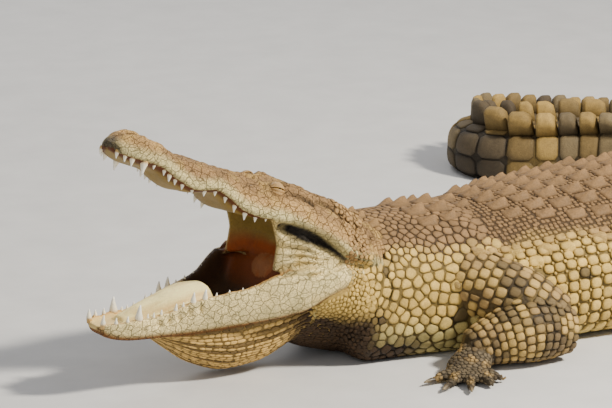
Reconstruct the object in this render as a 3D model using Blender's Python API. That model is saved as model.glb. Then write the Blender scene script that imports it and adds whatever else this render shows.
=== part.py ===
"""A Nile crocodile, life size, lying still with its jaws open and its tail curled round behind.

Metres, +Z up, floor at Z = 0. The head points to -X and the croc's left side is -Y.
The origin is on the floor under the belly.
"""

import math

import bmesh
import bpy
from mathutils import Vector

GAP = 0.0003
SEAM = 0.0016
BELLY_X = 0.62

# The spine runs along the floor from the jaw joints tailward: (start, end, turn in degrees) of each bend.
SPINE_BENDS = ((0.70, 1.20, 43.0), (1.20, 2.06, 107.0), (1.95, 2.35, -152.0))
SPINE_STEP = 0.005
NECK_FRONT = 0.05
BODY_CUTS = (0.05, 0.27, 0.50, 0.75, 0.99, 1.24)
BODY_NAMES = ("neck", "shoulders", "trunk_front", "trunk_rear", "hips")
TAIL_END = 2.93
TAIL_CUTS = (1.42, 1.62, 1.84, 2.06, 2.24, 2.40, 2.56, 2.74)
BELLY_SINK = 1.15
WHORL_FIRST = 0.060
WHORL_LAST = 0.032
WHORL_STEP = 0.004

# Outer sizes along the spine, as (distance from the jaw joints, size).
HALF_WIDTH = (
    (0.0, 0.133), (0.10, 0.145), (0.20, 0.167), (0.33, 0.200), (0.47, 0.230), (0.65, 0.248),
    (0.86, 0.245), (1.05, 0.205), (1.24, 0.150), (1.40, 0.122), (1.65, 0.097), (1.95, 0.078),
    (2.20, 0.062), (2.50, 0.043), (2.80, 0.022), (2.93, 0.010),
)
HEIGHT = (
    (0.0, 0.258), (0.10, 0.262), (0.30, 0.254), (0.45, 0.264), (0.70, 0.272), (0.92, 0.268),
    (1.08, 0.250), (1.24, 0.215), (1.40, 0.182), (1.65, 0.152), (1.95, 0.128), (2.20, 0.104),
    (2.50, 0.072), (2.80, 0.036), (2.93, 0.018),
)
CREST = ((1.24, 0.010), (1.45, 0.026), (1.80, 0.044), (2.15, 0.050), (2.50, 0.036), (2.93, 0.006))
CREST_PAIR = ((1.24, 1.0), (1.95, 1.0), (2.15, 0.0), (2.93, 0.0))

# The head is pitched up about the jaw joints. Its sizes go by the distance forward of them.
JAW_JOINT_Z = 0.195
HEAD_PITCH = math.radians(25.0)
HEAD_FORWARD = Vector((-math.cos(HEAD_PITCH), 0.0, math.sin(HEAD_PITCH)))
HEAD_UP = Vector((math.sin(HEAD_PITCH), 0.0, math.cos(HEAD_PITCH)))
HEAD_HALF_WIDTH = (
    (-0.12, 0.110), (-0.03, 0.130), (0.03, 0.132), (0.09, 0.122), (0.15, 0.103), (0.20, 0.086),
    (0.26, 0.071), (0.33, 0.067), (0.375, 0.054), (0.405, 0.046), (0.43, 0.050), (0.46, 0.053),
    (0.482, 0.042), (0.494, 0.024), (0.499, 0.012),
)
HEAD_TOP = (
    (-0.12, 0.086), (-0.03, 0.098), (0.03, 0.107), (0.09, 0.109), (0.14, 0.104), (0.18, 0.094),
    (0.25, 0.092), (0.31, 0.093), (0.35, 0.089), (0.375, 0.0905), (0.41, 0.099), (0.442, 0.099),
    (0.47, 0.093), (0.488, 0.082), (0.499, 0.072),
)
HEAD_TABLE = (
    (-0.12, 0.060), (-0.03, 0.070), (0.03, 0.068), (0.09, 0.060), (0.14, 0.052), (0.18, 0.042),
    (0.25, 0.034), (0.33, 0.034), (0.405, 0.025), (0.45, 0.034), (0.49, 0.016), (0.499, 0.007),
)
LIP = (
    (-0.12, 0.020), (0.013, 0.0275), (0.08, 0.036), (0.15, 0.044), (0.19, 0.036), (0.22, 0.038),
    (0.25, 0.049), (0.28, 0.056), (0.30, 0.051), (0.33, 0.043), (0.36, 0.048), (0.405, 0.061),
    (0.455, 0.059), (0.484, 0.058), (0.499, 0.060),
)
PALATE_RISE = ((-0.12, 0.0), (0.17, 0.0), (0.21, -0.005), (0.46, -0.006), (0.499, 0.0))
# The head leans a little to its right, so its right lip and jaw rim hang lower than the left ones.
LIP_SAG = ((-0.12, 0.0), (0.172, 0.0), (0.22, 0.013), (0.44, 0.014), (0.499, 0.003))
RIM_SAG = ((-0.462, 0.0), (-0.43, 0.003), (-0.36, 0.008), (-0.20, 0.009), (-0.14, 0.0), (0.05, 0.0))

# The lower jaw lies level. Its sizes go by the distance behind the jaw joints.
JAW_HALF_WIDTH = (
    (-0.462, 0.010), (-0.455, 0.025), (-0.44, 0.039), (-0.40, 0.051), (-0.36, 0.054),
    (-0.32, 0.061), (-0.25, 0.079), (-0.18, 0.104), (-0.12, 0.126), (-0.05, 0.141), (0.05, 0.126),
)
JAW_TOP = (
    (-0.462, 0.141), (-0.41, 0.143), (-0.37, 0.144), (-0.33, 0.148), (-0.28, 0.163),
    (-0.22, 0.172), (-0.18, 0.178), (-0.145, 0.192), (-0.10, 0.207), (-0.04, 0.204), (0.05, 0.186),
)
JAW_BOTTOM = (
    (-0.462, 0.129), (-0.445, 0.113), (-0.41, 0.105), (-0.35, 0.101), (-0.28, 0.100),
    (-0.21, 0.105), (-0.13, 0.113), (-0.08, 0.121), (-0.03, 0.142), (0.05, 0.165),
)
FLOOR_DROP = (
    (-0.462, 0.003), (-0.44, 0.010), (-0.25, 0.014), (-0.21, 0.046), (-0.17, 0.056), (-0.125, 0.056),
    (-0.09, 0.010), (-0.07, 0.0), (0.05, 0.0),
)
POUCH_BOTTOM = (
    (-0.345, 0.093), (-0.31, 0.066), (-0.26, 0.032), (-0.19, 0.010), (-0.13, 0.014),
    (-0.085, 0.032), (-0.06, 0.044), (-0.03, 0.030), (0.05, 0.006),
)
POUCH_HALF_WIDTH = ((-0.345, 0.020), (-0.29, 0.045), (-0.20, 0.072), (-0.07, 0.086), (0.05, 0.112))
CHEEK_HALF_WIDTH = 0.116
CHEEK_FRONT = ((0.0, -0.078), (0.04, -0.086), (0.066, -0.112), (0.080, -0.130), (0.116, -0.062))
TONGUE_TOP = ((-0.405, 0.141), (-0.36, 0.157), (-0.30, 0.173), (-0.26, 0.181), (-0.225, 0.180))
TONGUE_HALF_WIDTH = ((-0.405, 0.020), (-0.34, 0.036), (-0.27, 0.046), (-0.225, 0.043))

# Teeth of one side as (distance forward, length); the upper ones hang and the lower ones stand.
UPPER_TEETH = (
    (0.490, 0.012), (0.4785, 0.012), (0.466, 0.016), (0.439, 0.024), (0.415, 0.009), (0.391, 0.011),
    (0.379, 0.014), (0.366, 0.011), (0.351, 0.011), (0.330, 0.009), (0.305, 0.012), (0.283, 0.011),
    (0.258, 0.012), (0.235, 0.014), (0.212, 0.015), (0.191, 0.011), (0.172, 0.007),
)
LOWER_TEETH = (
    (0.452, 0.017), (0.432, 0.011), (0.411, 0.011), (0.389, 0.029), (0.371, 0.009), (0.359, 0.009),
    (0.344, 0.011), (0.316, 0.014), (0.302, 0.010), (0.283, 0.021), (0.261, 0.021), (0.240, 0.009),
    (0.217, 0.009), (0.193, 0.008), (0.171, 0.006),
)
TOOTH_SINK = 0.004
TOOTH_SLENDER = 0.29
TOOTH_LEAST = 0.0012
TOOTH_BLUNT = 0.22
EYE_FORWARD = 0.152
EYE_SIDE = 0.050
EYE_RISE = 0.094
EYE_RADIUS = 0.0135

# Legs: joints as (tailward, outward, up) from the spine, with the leg's radius there.
# Toes: degrees outward from straight ahead, length, and whether the toe has a claw.
FORE_AT = 0.0
FORE_ARM = (
    ((0.270, 0.120, 0.140), 0.066),
    ((0.335, 0.205, 0.105), 0.064),
    ((0.392, 0.262, 0.062), 0.054),
)
FORE_SHANK = (
    ((0.405, 0.268, 0.055), 0.050),
    ((0.325, 0.262, 0.062), 0.059),
    ((0.250, 0.242, 0.048), 0.045),
    ((0.205, 0.232, 0.034), 0.033),
)
FORE_PALM = (
    ((0.222, 0.238, 0.030), 0.030, 0.030),
    ((0.190, 0.262, 0.020), 0.042, 0.023),
    ((0.168, 0.284, 0.015), 0.046, 0.017),
)
FORE_TOES = (
    (5.0, 0.062, True), (32.0, 0.075, True), (58.0, 0.076, True), (85.0, 0.068, False), (112.0, 0.055, False),
)
HIND_AT = 1.09
HIND_THIGH = (
    ((0.02, 0.090, 0.125), 0.088),
    ((-0.06, 0.180, 0.110), 0.080),
    ((-0.135, 0.260, 0.085), 0.058),
)
HIND_SHANK = (
    ((-0.145, 0.268, 0.080), 0.055),
    ((-0.06, 0.300, 0.070), 0.058),
    ((0.020, 0.322, 0.050), 0.044),
    ((0.055, 0.330, 0.040), 0.036),
)
HIND_PALM = (
    ((0.050, 0.332, 0.032), 0.034, 0.032),
    ((-0.015, 0.372, 0.022), 0.044, 0.024),
    ((-0.060, 0.400, 0.016), 0.052, 0.018),
)
HIND_TOES = ((12.0, 0.100, True), (30.0, 0.118, True), (48.0, 0.118, True), (66.0, 0.098, False))
TOE_RADIUS = 0.0125
KNUCKLE_REACH = 0.026
CLAW_LENGTH = 0.026
# Sections of toe and claw as (share of the length, size, height); a toe's size is a share of its radius.
TOE_SECTIONS = ((-0.32, 1.0, 0.015), (0.45, 0.95, 0.013), (0.85, 0.8, 0.010), (1.0, 0.55, 0.007))
CLAW_SECTIONS = ((0.0, 0.0052, 0.0078), (0.5, 0.0042, 0.0074), (1.0, 0.0010, 0.0018))

COLOURS = {
    "hide": (0.42, 0.34, 0.20, 0.6),
    "head": (0.45, 0.34, 0.22, 0.6),
    "jaw": (0.55, 0.49, 0.33, 0.55),
    "tail": (0.20, 0.17, 0.09, 0.6),
    "limb": (0.26, 0.22, 0.12, 0.6),
    "mouth": (0.62, 0.42, 0.24, 0.4),
    "eye": (0.35, 0.26, 0.06, 0.15),
    "claw": (0.14, 0.12, 0.09, 0.4),
}


def clear_scene():
    for thing in list(bpy.data.objects):
        bpy.data.objects.remove(thing)


def new_collection(name, hidden=False):
    collection = bpy.data.collections.new(name)
    bpy.context.scene.collection.children.link(collection)
    collection.hide_render = hidden
    return collection


def make_material(name, values):
    material = bpy.data.materials.new(name)
    material.use_nodes = True
    surface = material.node_tree.nodes["Principled BSDF"]
    surface.inputs["Base Color"].default_value = (*values[:3], 1.0)
    surface.inputs["Roughness"].default_value = values[3]
    surface.inputs["Metallic"].default_value = 0.0
    return material


def value_at(table, place):
    """The table's value at a place, on a smooth curve that never overshoots its points."""
    if place <= table[0][0]:
        return table[0][1]
    if place >= table[-1][0]:
        return table[-1][1]
    steps = [b[0] - a[0] for a, b in zip(table, table[1:])]
    slopes = [(b[1] - a[1]) / step for a, b, step in zip(table, table[1:], steps)]
    tangents = [slopes[0]]
    for before, after in zip(slopes, slopes[1:]):
        tangents.append(0.0 if before * after <= 0 else 2 * before * after / (before + after))
    tangents.append(slopes[-1])
    i = max(k for k in range(len(steps)) if table[k][0] <= place)
    t = (place - table[i][0]) / steps[i]
    start = (1 + 2 * t) * (1 - t) ** 2 * table[i][1] + t * (1 - t) ** 2 * steps[i] * tangents[i]
    end = t * t * (3 - 2 * t) * table[i + 1][1] + t * t * (t - 1) * steps[i] * tangents[i + 1]
    return start + end


def spine_heading(distance):
    heading = 0.0
    for start, end, turn in SPINE_BENDS:
        t = min(max((distance - start) / (end - start), 0.0), 1.0)
        heading += math.radians(turn) * t * t * (3 - 2 * t)
    return heading


def walk_spine():
    """Floor points of the spine, one every SPINE_STEP."""
    points = [Vector((-BELLY_X, 0.0, 0.0))]
    while len(points) * SPINE_STEP < TAIL_END + 2 * SPINE_STEP:
        heading = spine_heading((len(points) - 0.5) * SPINE_STEP)
        points.append(points[-1] + SPINE_STEP * Vector((math.cos(heading), math.sin(heading), 0.0)))
    return points


SPINE = walk_spine()


def spine_place(distance, outward, up, side=1.0):
    """The point beside the spine; side 1 is the croc's right and -1 its left."""
    heading = spine_heading(distance)
    along = Vector((math.cos(heading), math.sin(heading), 0.0))
    across = Vector((-along.y, along.x, 0.0))
    if distance < 0:
        foot = SPINE[0] + distance * along
    else:
        i = min(int(distance / SPINE_STEP), len(SPINE) - 2)
        foot = SPINE[i] + (distance - i * SPINE_STEP) * along
    return foot + side * outward * across + Vector((0.0, 0.0, up))


def loft(name, rings, collection):
    """A closed body through rings of equally many points, with a flat cap at each end."""
    mesh = bpy.data.meshes.new(name)
    shape = bmesh.new()
    rows = [[shape.verts.new(point) for point in ring] for ring in rings]
    for row, after in zip(rows, rows[1:]):
        for i in range(len(row)):
            j = (i + 1) % len(row)
            shape.faces.new((row[i], row[j], after[j], after[i]))
    shape.faces.new(reversed(rows[0]))
    shape.faces.new(rows[-1])
    bmesh.ops.triangulate(shape, faces=shape.faces)
    bmesh.ops.recalc_face_normals(shape, faces=shape.faces)
    shape.to_mesh(mesh)
    shape.free()
    thing = bpy.data.objects.new(name, mesh)
    collection.objects.link(thing)
    return thing


def grown(rings, margin):
    """The same rings moved outward by a margin, and the end rings outward along the body too."""
    result = []
    centres = [sum(ring, Vector()) / len(ring) for ring in rings]
    for centre, ring in zip(centres, rings):
        result.append([point + margin * (point - centre).normalized() for point in ring])
    first = margin * (centres[0] - centres[1]).normalized()
    last = margin * (centres[-1] - centres[-2]).normalized()
    result[0] = [point + first for point in result[0]]
    result[-1] = [point + last for point in result[-1]]
    return result


def boolean(target, other, operation):
    modifier = target.modifiers.new(operation.lower() + "_" + other.name, "BOOLEAN")
    modifier.operation = operation
    modifier.object = other
    modifier.solver = "EXACT"


def finish(thing, material):
    thing.data.materials.append(material)
    thing.data.shade_smooth()
    thing.data.set_sharp_from_angle(angle=math.radians(40.0))


def body_ring(distance, sides=20, top_squareness=2.05, foot_squareness=3.2, belly=0.42):
    """A rounded section of neck, trunk or hips, pressed flat where it meets the floor."""
    half_width = value_at(HALF_WIDTH, distance)
    height = value_at(HEIGHT, distance)
    middle = belly * height
    ring = []
    for i in range(sides):
        angle = 2 * math.pi * i / sides
        squareness = top_squareness if i <= sides // 2 else foot_squareness
        across = math.copysign(abs(math.cos(angle)) ** (2 / squareness), math.cos(angle))
        rise = math.copysign(abs(math.sin(angle)) ** (2 / squareness), math.sin(angle))
        up = middle + rise * (height - middle if rise > 0 else BELLY_SINK * middle)
        ring.append(spine_place(distance, half_width * across, max(up, 0.0)))
    return ring


def body_stations(start, end):
    count = max(2, round((end - start) / 0.045))
    return [start + (end - start) * i / count for i in range(count + 1)]


def body_rings(start, end):
    return [body_ring(distance) for distance in body_stations(start, end)]


def tail_ring(distance, lift):
    """A tail section: flat foot, upright sides and a crest of one or two ridges lifted by a share."""
    half_width = value_at(HALF_WIDTH, distance)
    height = value_at(HEIGHT, distance)
    crest = value_at(CREST, distance) * lift
    pair = value_at(CREST_PAIR, distance)
    half = [
        (0.50 * half_width, 0.0),
        (0.90 * half_width, 0.10 * height),
        (half_width, 0.38 * height),
        (0.90 * half_width, 0.72 * height),
        (0.66 * half_width, 0.96 * height),
        ((0.12 + 0.36 * pair) * half_width, height + crest),
    ]
    middle = (0.0, height + (1 - pair) * crest)
    outline = half + [middle] + [(-across, up) for across, up in reversed(half)]
    return [spine_place(distance, across, up) for across, up in outline]


def whorl_starts():
    """Where each ring of tail scutes begins; the rings shorten towards the tip."""
    starts = [BODY_CUTS[-1]]
    while starts[-1] < TAIL_END - WHORL_LAST:
        share = (starts[-1] - BODY_CUTS[-1]) / (TAIL_END - BODY_CUTS[-1])
        starts.append(starts[-1] + WHORL_FIRST + (WHORL_LAST - WHORL_FIRST) * share)
    return starts


def tail_pieces():
    """Rings of each tail length, which ends at the whorl nearest its cut."""
    starts = whorl_starts()
    pieces = [[]]
    cuts = list(TAIL_CUTS)
    for start, end in zip(starts, starts[1:]):
        if cuts and start > cuts[0]:
            cuts.pop(0)
            pieces.append([])
        first = start + GAP if not pieces[-1] else start
        pieces[-1].append(tail_ring(first, 0.45))
        pieces[-1].append(tail_ring(end - WHORL_STEP, 1.0))
    return pieces


def head_point(forward, across, up):
    place = forward * HEAD_FORWARD + up * HEAD_UP
    return Vector((place.x - BELLY_X, across, place.z + JAW_JOINT_Z))


def round_outline(points, count):
    """Points spread evenly along a smooth closed curve through the given points."""
    number = len(points)
    dense = []
    for i in range(number):
        a, b, c, d = (Vector(points[(i + k) % number]) for k in (-1, 0, 1, 2))
        for k in range(8):
            t = k / 8
            dense.append(0.5 * (2 * b + (c - a) * t + (2 * a - 5 * b + 4 * c - d) * t * t
                                + (3 * b - a - 3 * c + d) * t ** 3))
    lengths = [(dense[(i + 1) % len(dense)] - dense[i]).length for i in range(len(dense))]
    step = sum(lengths) / count
    result = []
    walked = 0.0
    wanted = 0.0
    for i, length in enumerate(lengths):
        while wanted < walked + length - 1e-9 and len(result) < count:
            result.append(dense[i].lerp(dense[(i + 1) % len(dense)], (wanted - walked) / length))
            wanted += step
        walked += length
    return result


def mirrored(half):
    """A closed outline from its half with across >= 0, which starts and ends on the middle."""
    return half + [(-across, up) for across, up in reversed(half) if across > 0]


def lip_sag(forward, across):
    """How much lower the lip lies at a place across the head than it would on a level head."""
    return value_at(LIP_SAG, forward) * (0.5 + 0.5 * across / value_at(HEAD_HALF_WIDTH, forward))


def head_ring(forward):
    half_width = value_at(HEAD_HALF_WIDTH, forward)
    top = value_at(HEAD_TOP, forward)
    table = value_at(HEAD_TABLE, forward)
    lip = value_at(LIP, forward)
    palate = lip + value_at(PALATE_RISE, forward)
    depth = top - lip
    half = [
        (0.0, palate),
        (0.5 * half_width, palate),
        (0.90 * half_width, lip),
        (half_width, lip + 0.18 * depth),
        (0.55 * half_width + 0.45 * table + 0.006, lip + 0.62 * depth),
        (table, top),
        (0.0, top),
    ]
    ring = []
    for across, up in mirrored(half):
        low = 1.0 - (up - lip) / depth
        ring.append(head_point(forward, across, up - low * lip_sag(forward, across)))
    return ring


def head_stations():
    rear = [-0.115, -0.07, -0.03, 0.0, 0.03, 0.06, 0.09, 0.115, 0.14, 0.165, 0.19, 0.215, 0.24, 0.27]
    return rear + [0.30, 0.33, 0.355, 0.38, 0.405, 0.425, 0.45, 0.47, 0.484, 0.494, 0.499]


def cut_behind(thing, x):
    """Removes all of a mesh behind a plane and closes the opening with a flat face."""
    shape = bmesh.new()
    shape.from_mesh(thing.data)
    parts = shape.verts[:] + shape.edges[:] + shape.faces[:]
    bmesh.ops.bisect_plane(shape, geom=parts, plane_co=(x, 0, 0), plane_no=(1, 0, 0), clear_outer=True)
    edges = [edge for edge in shape.edges if edge.is_boundary]
    faces = bmesh.ops.holes_fill(shape, edges=edges)["faces"]
    bmesh.ops.triangulate(shape, faces=faces)
    bmesh.ops.recalc_face_normals(shape, faces=shape.faces)
    shape.to_mesh(thing.data)
    shape.free()


def tooth_rings(root, direction, length):
    """A cone of five sides from its root to a blunt tip."""
    radius = TOOTH_SLENDER * length + TOOTH_LEAST
    aside = direction.cross(Vector((0.0, 1.0, 0.0))).normalized()
    other = direction.cross(aside).normalized()
    rings = []
    for share, width in ((-TOOTH_SINK / length, 1.0), (1.0, TOOTH_BLUNT)):
        centre = root + share * length * direction
        ring = []
        for k in range(5):
            angle = 2 * math.pi * k / 5
            ring.append(centre + radius * width * (math.cos(angle) * aside + math.sin(angle) * other))
        rings.append(ring)
    return rings


def join(things, name):
    """One mesh object from several, which are removed."""
    shape = bmesh.new()
    for thing in things:
        shape.from_mesh(thing.data)
    mesh = bpy.data.meshes.new(name)
    shape.to_mesh(mesh)
    shape.free()
    joined = bpy.data.objects.new(name, mesh)
    things[0].users_collection[0].objects.link(joined)
    for thing in things:
        bpy.data.objects.remove(thing)
    joined.display_type = "WIRE"
    joined.hide_render = True
    return joined


def upper_tooth(forward, length, side, cutters):
    across = side * (value_at(HEAD_HALF_WIDTH, forward) * 0.84)
    root = head_point(forward, across, value_at(LIP, forward) + 0.002 - lip_sag(forward, across))
    direction = (-HEAD_UP + Vector((0.0, 0.12 * side, 0.0))).normalized()
    return loft("tooth", tooth_rings(root, direction, length), cutters)


def lower_tooth(forward, length, side, cutters):
    across = side * value_at(JAW_HALF_WIDTH, -forward) * 0.86
    rim = value_at(JAW_TOP, -forward)
    if side > 0:
        rim -= value_at(RIM_SAG, -forward)
    root = Vector((-forward - BELLY_X, across, rim - 0.003))
    direction = Vector((-0.05, 0.10 * side, 1.0)).normalized()
    return loft("tooth", tooth_rings(root, direction, length + 0.002), cutters)


def eye_at(side, radius, name, collection):
    shape = bmesh.new()
    bmesh.ops.create_uvsphere(shape, u_segments=10, v_segments=6, radius=radius)
    mesh = bpy.data.meshes.new(name)
    shape.to_mesh(mesh)
    shape.free()
    eye = bpy.data.objects.new(name, mesh)
    eye.location = head_point(EYE_FORWARD, side * EYE_SIDE, EYE_RISE)
    collection.objects.link(eye)
    return eye


def make_head(parts, cutters):
    head = loft("head", [head_ring(place) for place in head_stations()], parts)
    cut_behind(head, NECK_FRONT - BELLY_X - GAP)
    teeth = [upper_tooth(*tooth, side, cutters) for tooth in UPPER_TEETH for side in (-1, 1)]
    boolean(head, join(teeth, "upper_teeth"), "UNION")
    for side, name in ((-1, "eye_left"), (1, "eye_right")):
        socket = eye_at(side, EYE_RADIUS + GAP, "socket_" + name, cutters)
        socket.hide_render = True
        socket.display_type = "WIRE"
        boolean(head, socket, "DIFFERENCE")
    return head


def jaw_ring(x):
    half_width = value_at(JAW_HALF_WIDTH, x)
    top = value_at(JAW_TOP, x)
    bottom = value_at(JAW_BOTTOM, x)
    floor = top - value_at(FLOOR_DROP, x)
    depth = top - bottom
    half = [
        (0.0, bottom),
        (0.72 * half_width, bottom),
        (0.93 * half_width, bottom + 0.22 * depth),
        (half_width, bottom + 0.62 * depth),
        (0.95 * half_width, top),
        (0.80 * half_width, top),
        (0.66 * half_width, floor),
        (0.0, floor),
    ]
    sag = value_at(RIM_SAG, x)
    ring = []
    for across, up in mirrored(half):
        if across > 0 and up == top:
            up -= sag
        ring.append(Vector((x - BELLY_X, across, up)))
    return ring


def make_lower_jaw(parts, cutters):
    places = [-0.462, -0.455, -0.44, -0.42, -0.40, -0.38, -0.36, -0.34, -0.32, -0.295, -0.27, -0.24]
    places += [-0.21, -0.18, -0.155, -0.13, -0.105, -0.085, -0.065, -0.04, 0.0, NECK_FRONT - GAP]
    jaw = loft("lower_jaw", [jaw_ring(x) for x in places], parts)
    teeth = [lower_tooth(*tooth, side, cutters) for tooth in LOWER_TEETH for side in (-1, 1)]
    boolean(jaw, join(teeth, "lower_teeth"), "UNION")
    return jaw


def pouch_ring(x):
    half_width = value_at(POUCH_HALF_WIDTH, x)
    top = value_at(JAW_BOTTOM, x) - SEAM
    bottom = value_at(POUCH_BOTTOM, x)
    ring = []
    for i in range(13):
        angle = math.pi * i / 12
        up = top - (top - bottom) * math.sin(angle) ** 0.8
        ring.append(Vector((x - BELLY_X, half_width * math.cos(angle), up)))
    return ring


def make_pouch(parts):
    places = [-0.345, -0.325, -0.30, -0.27, -0.235, -0.20, -0.165, -0.13, -0.10, -0.08, -0.06, -0.04, -0.01]
    return loft("throat_pouch", [pouch_ring(x) for x in places + [0.02, NECK_FRONT - GAP]], parts)


def head_underside(x):
    """Height of the head's underside behind the tooth row at a place along the body."""
    low, high = -0.12, 0.25
    for _ in range(40):
        middle = 0.5 * (low + high)
        if head_point(middle, 0.0, value_at(LIP, middle)).x + BELLY_X > x:
            low = middle
        else:
            high = middle
    return head_point(low, 0.0, value_at(LIP, low)).z


def cheek_ring(across):
    """A slice of the wedge of muscle between the jaws, which is hollowed in front towards the throat."""
    share = abs(across) / CHEEK_HALF_WIDTH
    front = value_at(CHEEK_FRONT, abs(across))
    rear = NECK_FRONT - GAP
    inset = 0.006 * share ** 4
    ring = []
    for i in range(7):
        x = front + (rear - front) * i / 6
        ring.append(Vector((x - BELLY_X, across, value_at(JAW_TOP, x) + SEAM)))
    for i in range(7):
        x = rear + (front - rear) * i / 6
        ring.append(Vector((x - BELLY_X, across, head_underside(x) - SEAM - inset)))
    middle = 0.5 * (ring[0] + ring[-1])
    ring.append(middle + Vector((0.012, 0.0, 0.0)))
    return ring


def make_cheeks(parts):
    shares = (-1.0, -0.85, -0.69, -0.55, -0.3, 0.0, 0.3, 0.55, 0.69, 0.85, 1.0)
    return loft("cheeks", [cheek_ring(CHEEK_HALF_WIDTH * share) for share in shares], parts)


def tongue_ring(x):
    half_width = value_at(TONGUE_HALF_WIDTH, x)
    bottom = value_at(JAW_TOP, x) - value_at(FLOOR_DROP, x) + SEAM
    top = value_at(TONGUE_TOP, x)
    ring = []
    for i in range(9):
        angle = math.pi * i / 8
        up = bottom + (top - bottom) * math.sin(angle) ** 0.7
        ring.append(Vector((x - BELLY_X, half_width * math.cos(angle), up)))
    return ring


def make_tongue(parts):
    places = (-0.405, -0.38, -0.35, -0.32, -0.29, -0.26, -0.24, -0.225)
    return loft("tongue", [tongue_ring(x) for x in places], parts)


def limb_place(at, joint, side):
    """A limb's joint, measured from the spine's place and heading at the limb's root."""
    tailward, outward, up = joint
    heading = spine_heading(at)
    return spine_place(at, outward, up, side) + tailward * Vector((math.cos(heading), math.sin(heading), 0.0))


def limb_rings(joints, at, side, sides=10):
    """Round sections along a limb, square to its run and pressed flat on the floor."""
    centres = [limb_place(at, joint[0], side) for joint in joints]
    rings = []
    for i, joint in enumerate(joints):
        before = centres[max(i - 1, 0)]
        after = centres[min(i + 1, len(centres) - 1)]
        run = (after - before).normalized()
        aside = run.cross(Vector((0.0, 0.0, 1.0))).normalized()
        over = aside.cross(run).normalized()
        tall = joint[2] if len(joint) > 2 else joint[1]
        ring = []
        for k in range(sides):
            angle = 2 * math.pi * k / sides
            point = centres[i] + joint[1] * math.cos(angle) * aside + tall * math.sin(angle) * over
            ring.append(Vector((point.x, point.y, max(point.z, 0.0))))
        rings.append(ring)
    return rings


def refined(joints):
    """Adds a joint halfway along each stretch, bulged a little, so that a limb reads as flesh."""
    result = [joints[0]]
    for before, after in zip(joints, joints[1:]):
        middle = tuple((a + b) / 2 for a, b in zip(before[0], after[0]))
        result.append((middle, *(0.51 * (a + b) for a, b in zip(before[1:], after[1:]))))
        result.append(after)
    return result


def toe_rings(root, aim, length):
    run = Vector((math.cos(aim), math.sin(aim), 0.0))
    aside = Vector((-run.y, run.x, 0.0))
    rings = []
    for share, size, up in TOE_SECTIONS:
        centre = root + share * length * run
        ring = []
        for k in range(6):
            angle = 2 * math.pi * (k + 0.5) / 6
            turned = math.cos(angle) * aside + math.sin(angle) * Vector((0, 0, 1))
            point = centre + TOE_RADIUS * size * turned
            ring.append(Vector((point.x, point.y, max(point.z + up, 0.0))))
        rings.append(ring)
    return rings


def claw_rings(tip, aim):
    run = Vector((math.cos(aim), math.sin(aim), 0.0))
    aside = Vector((-run.y, run.x, 0.0))
    rings = []
    for share, size, up in CLAW_SECTIONS:
        centre = tip + (GAP + share * CLAW_LENGTH) * run
        ring = []
        for k in range(6):
            angle = 2 * math.pi * k / 6
            point = centre + size * (math.cos(angle) * aside + math.sin(angle) * Vector((0, 0, 1)))
            ring.append(Vector((point.x, point.y, max(point.z + up, 0.0))))
        rings.append(ring)
    return rings


def as_cutter(thing):
    thing.hide_render = True
    thing.display_type = "WIRE"
    return thing


def make_foot(name, palm, toes, at, side, cutters, parts, claws):
    """A palm with its toes joined to it, and the claws as pieces of their own."""
    foot = loft(name, limb_rings(palm, at, side), parts)
    heel = limb_place(at, (*palm[-2][0][:2], 0.0), side)
    ball = limb_place(at, (*palm[-1][0][:2], 0.0), side)
    heading = spine_heading(at)
    toe_things = []
    for number, (spread, length, clawed) in enumerate(toes, 1):
        direction = heading + math.pi - side * math.radians(spread)
        run = Vector((math.cos(direction), math.sin(direction), 0.0))
        root = heel.lerp(ball, 0.5) + KNUCKLE_REACH * run
        toe = as_cutter(loft("toe_" + name + str(number), toe_rings(root, direction, length), cutters))
        toe_things.append(toe)
        boolean(foot, toe, "UNION")
        if clawed:
            rings = claw_rings(root + length * run, direction)
            claws.append(loft("claw_" + name + "_" + str(number), rings, parts))
    return foot


def make_leg(name, upper, lower, palm, toes, at, side, cutters, parts):
    """Upper leg, lower leg and foot; each is cut clear of the one above it and of the body."""
    upper_rings = limb_rings(refined(upper), at, side)
    lower_rings = limb_rings(refined(lower), at, side)
    claws = []
    top = loft(name + "_upper", upper_rings, parts)
    middle = loft(name + "_lower", lower_rings, parts)
    foot = make_foot(name + "_foot", palm, toes, at, side, cutters, parts, claws)
    clear_of_top = as_cutter(loft("clear_" + name + "_upper", lowered(grown(upper_rings, GAP)), cutters))
    clear_of_middle = as_cutter(loft("clear_" + name + "_lower", lowered(grown(lower_rings, GAP)), cutters))
    boolean(middle, clear_of_top, "DIFFERENCE")
    boolean(foot, clear_of_middle, "DIFFERENCE")
    return [top, middle, foot], claws


def lowered(rings):
    """Takes a cutter's flat foot below the floor, so that it cuts cleanly there."""
    return [[Vector((p.x, p.y, p.z if p.z > 0.002 else -0.01)) for p in ring] for ring in rings]


def make_body(parts):
    pieces = []
    for name, start, end in zip(BODY_NAMES, BODY_CUTS, BODY_CUTS[1:]):
        pieces.append(loft(name, body_rings(start, end - GAP), parts))
    return pieces


def whole_body_rings():
    """The sections of all the body pieces in one run, from the neck to the tail's root."""
    stations = [BODY_CUTS[0]]
    for start, end in zip(BODY_CUTS, BODY_CUTS[1:]):
        stations += body_stations(start, end)[1:]
    return [body_ring(distance) for distance in stations]


def make_tail(parts):
    return [loft("tail_" + str(i), rings, parts) for i, rings in enumerate(tail_pieces(), 1)]


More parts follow.
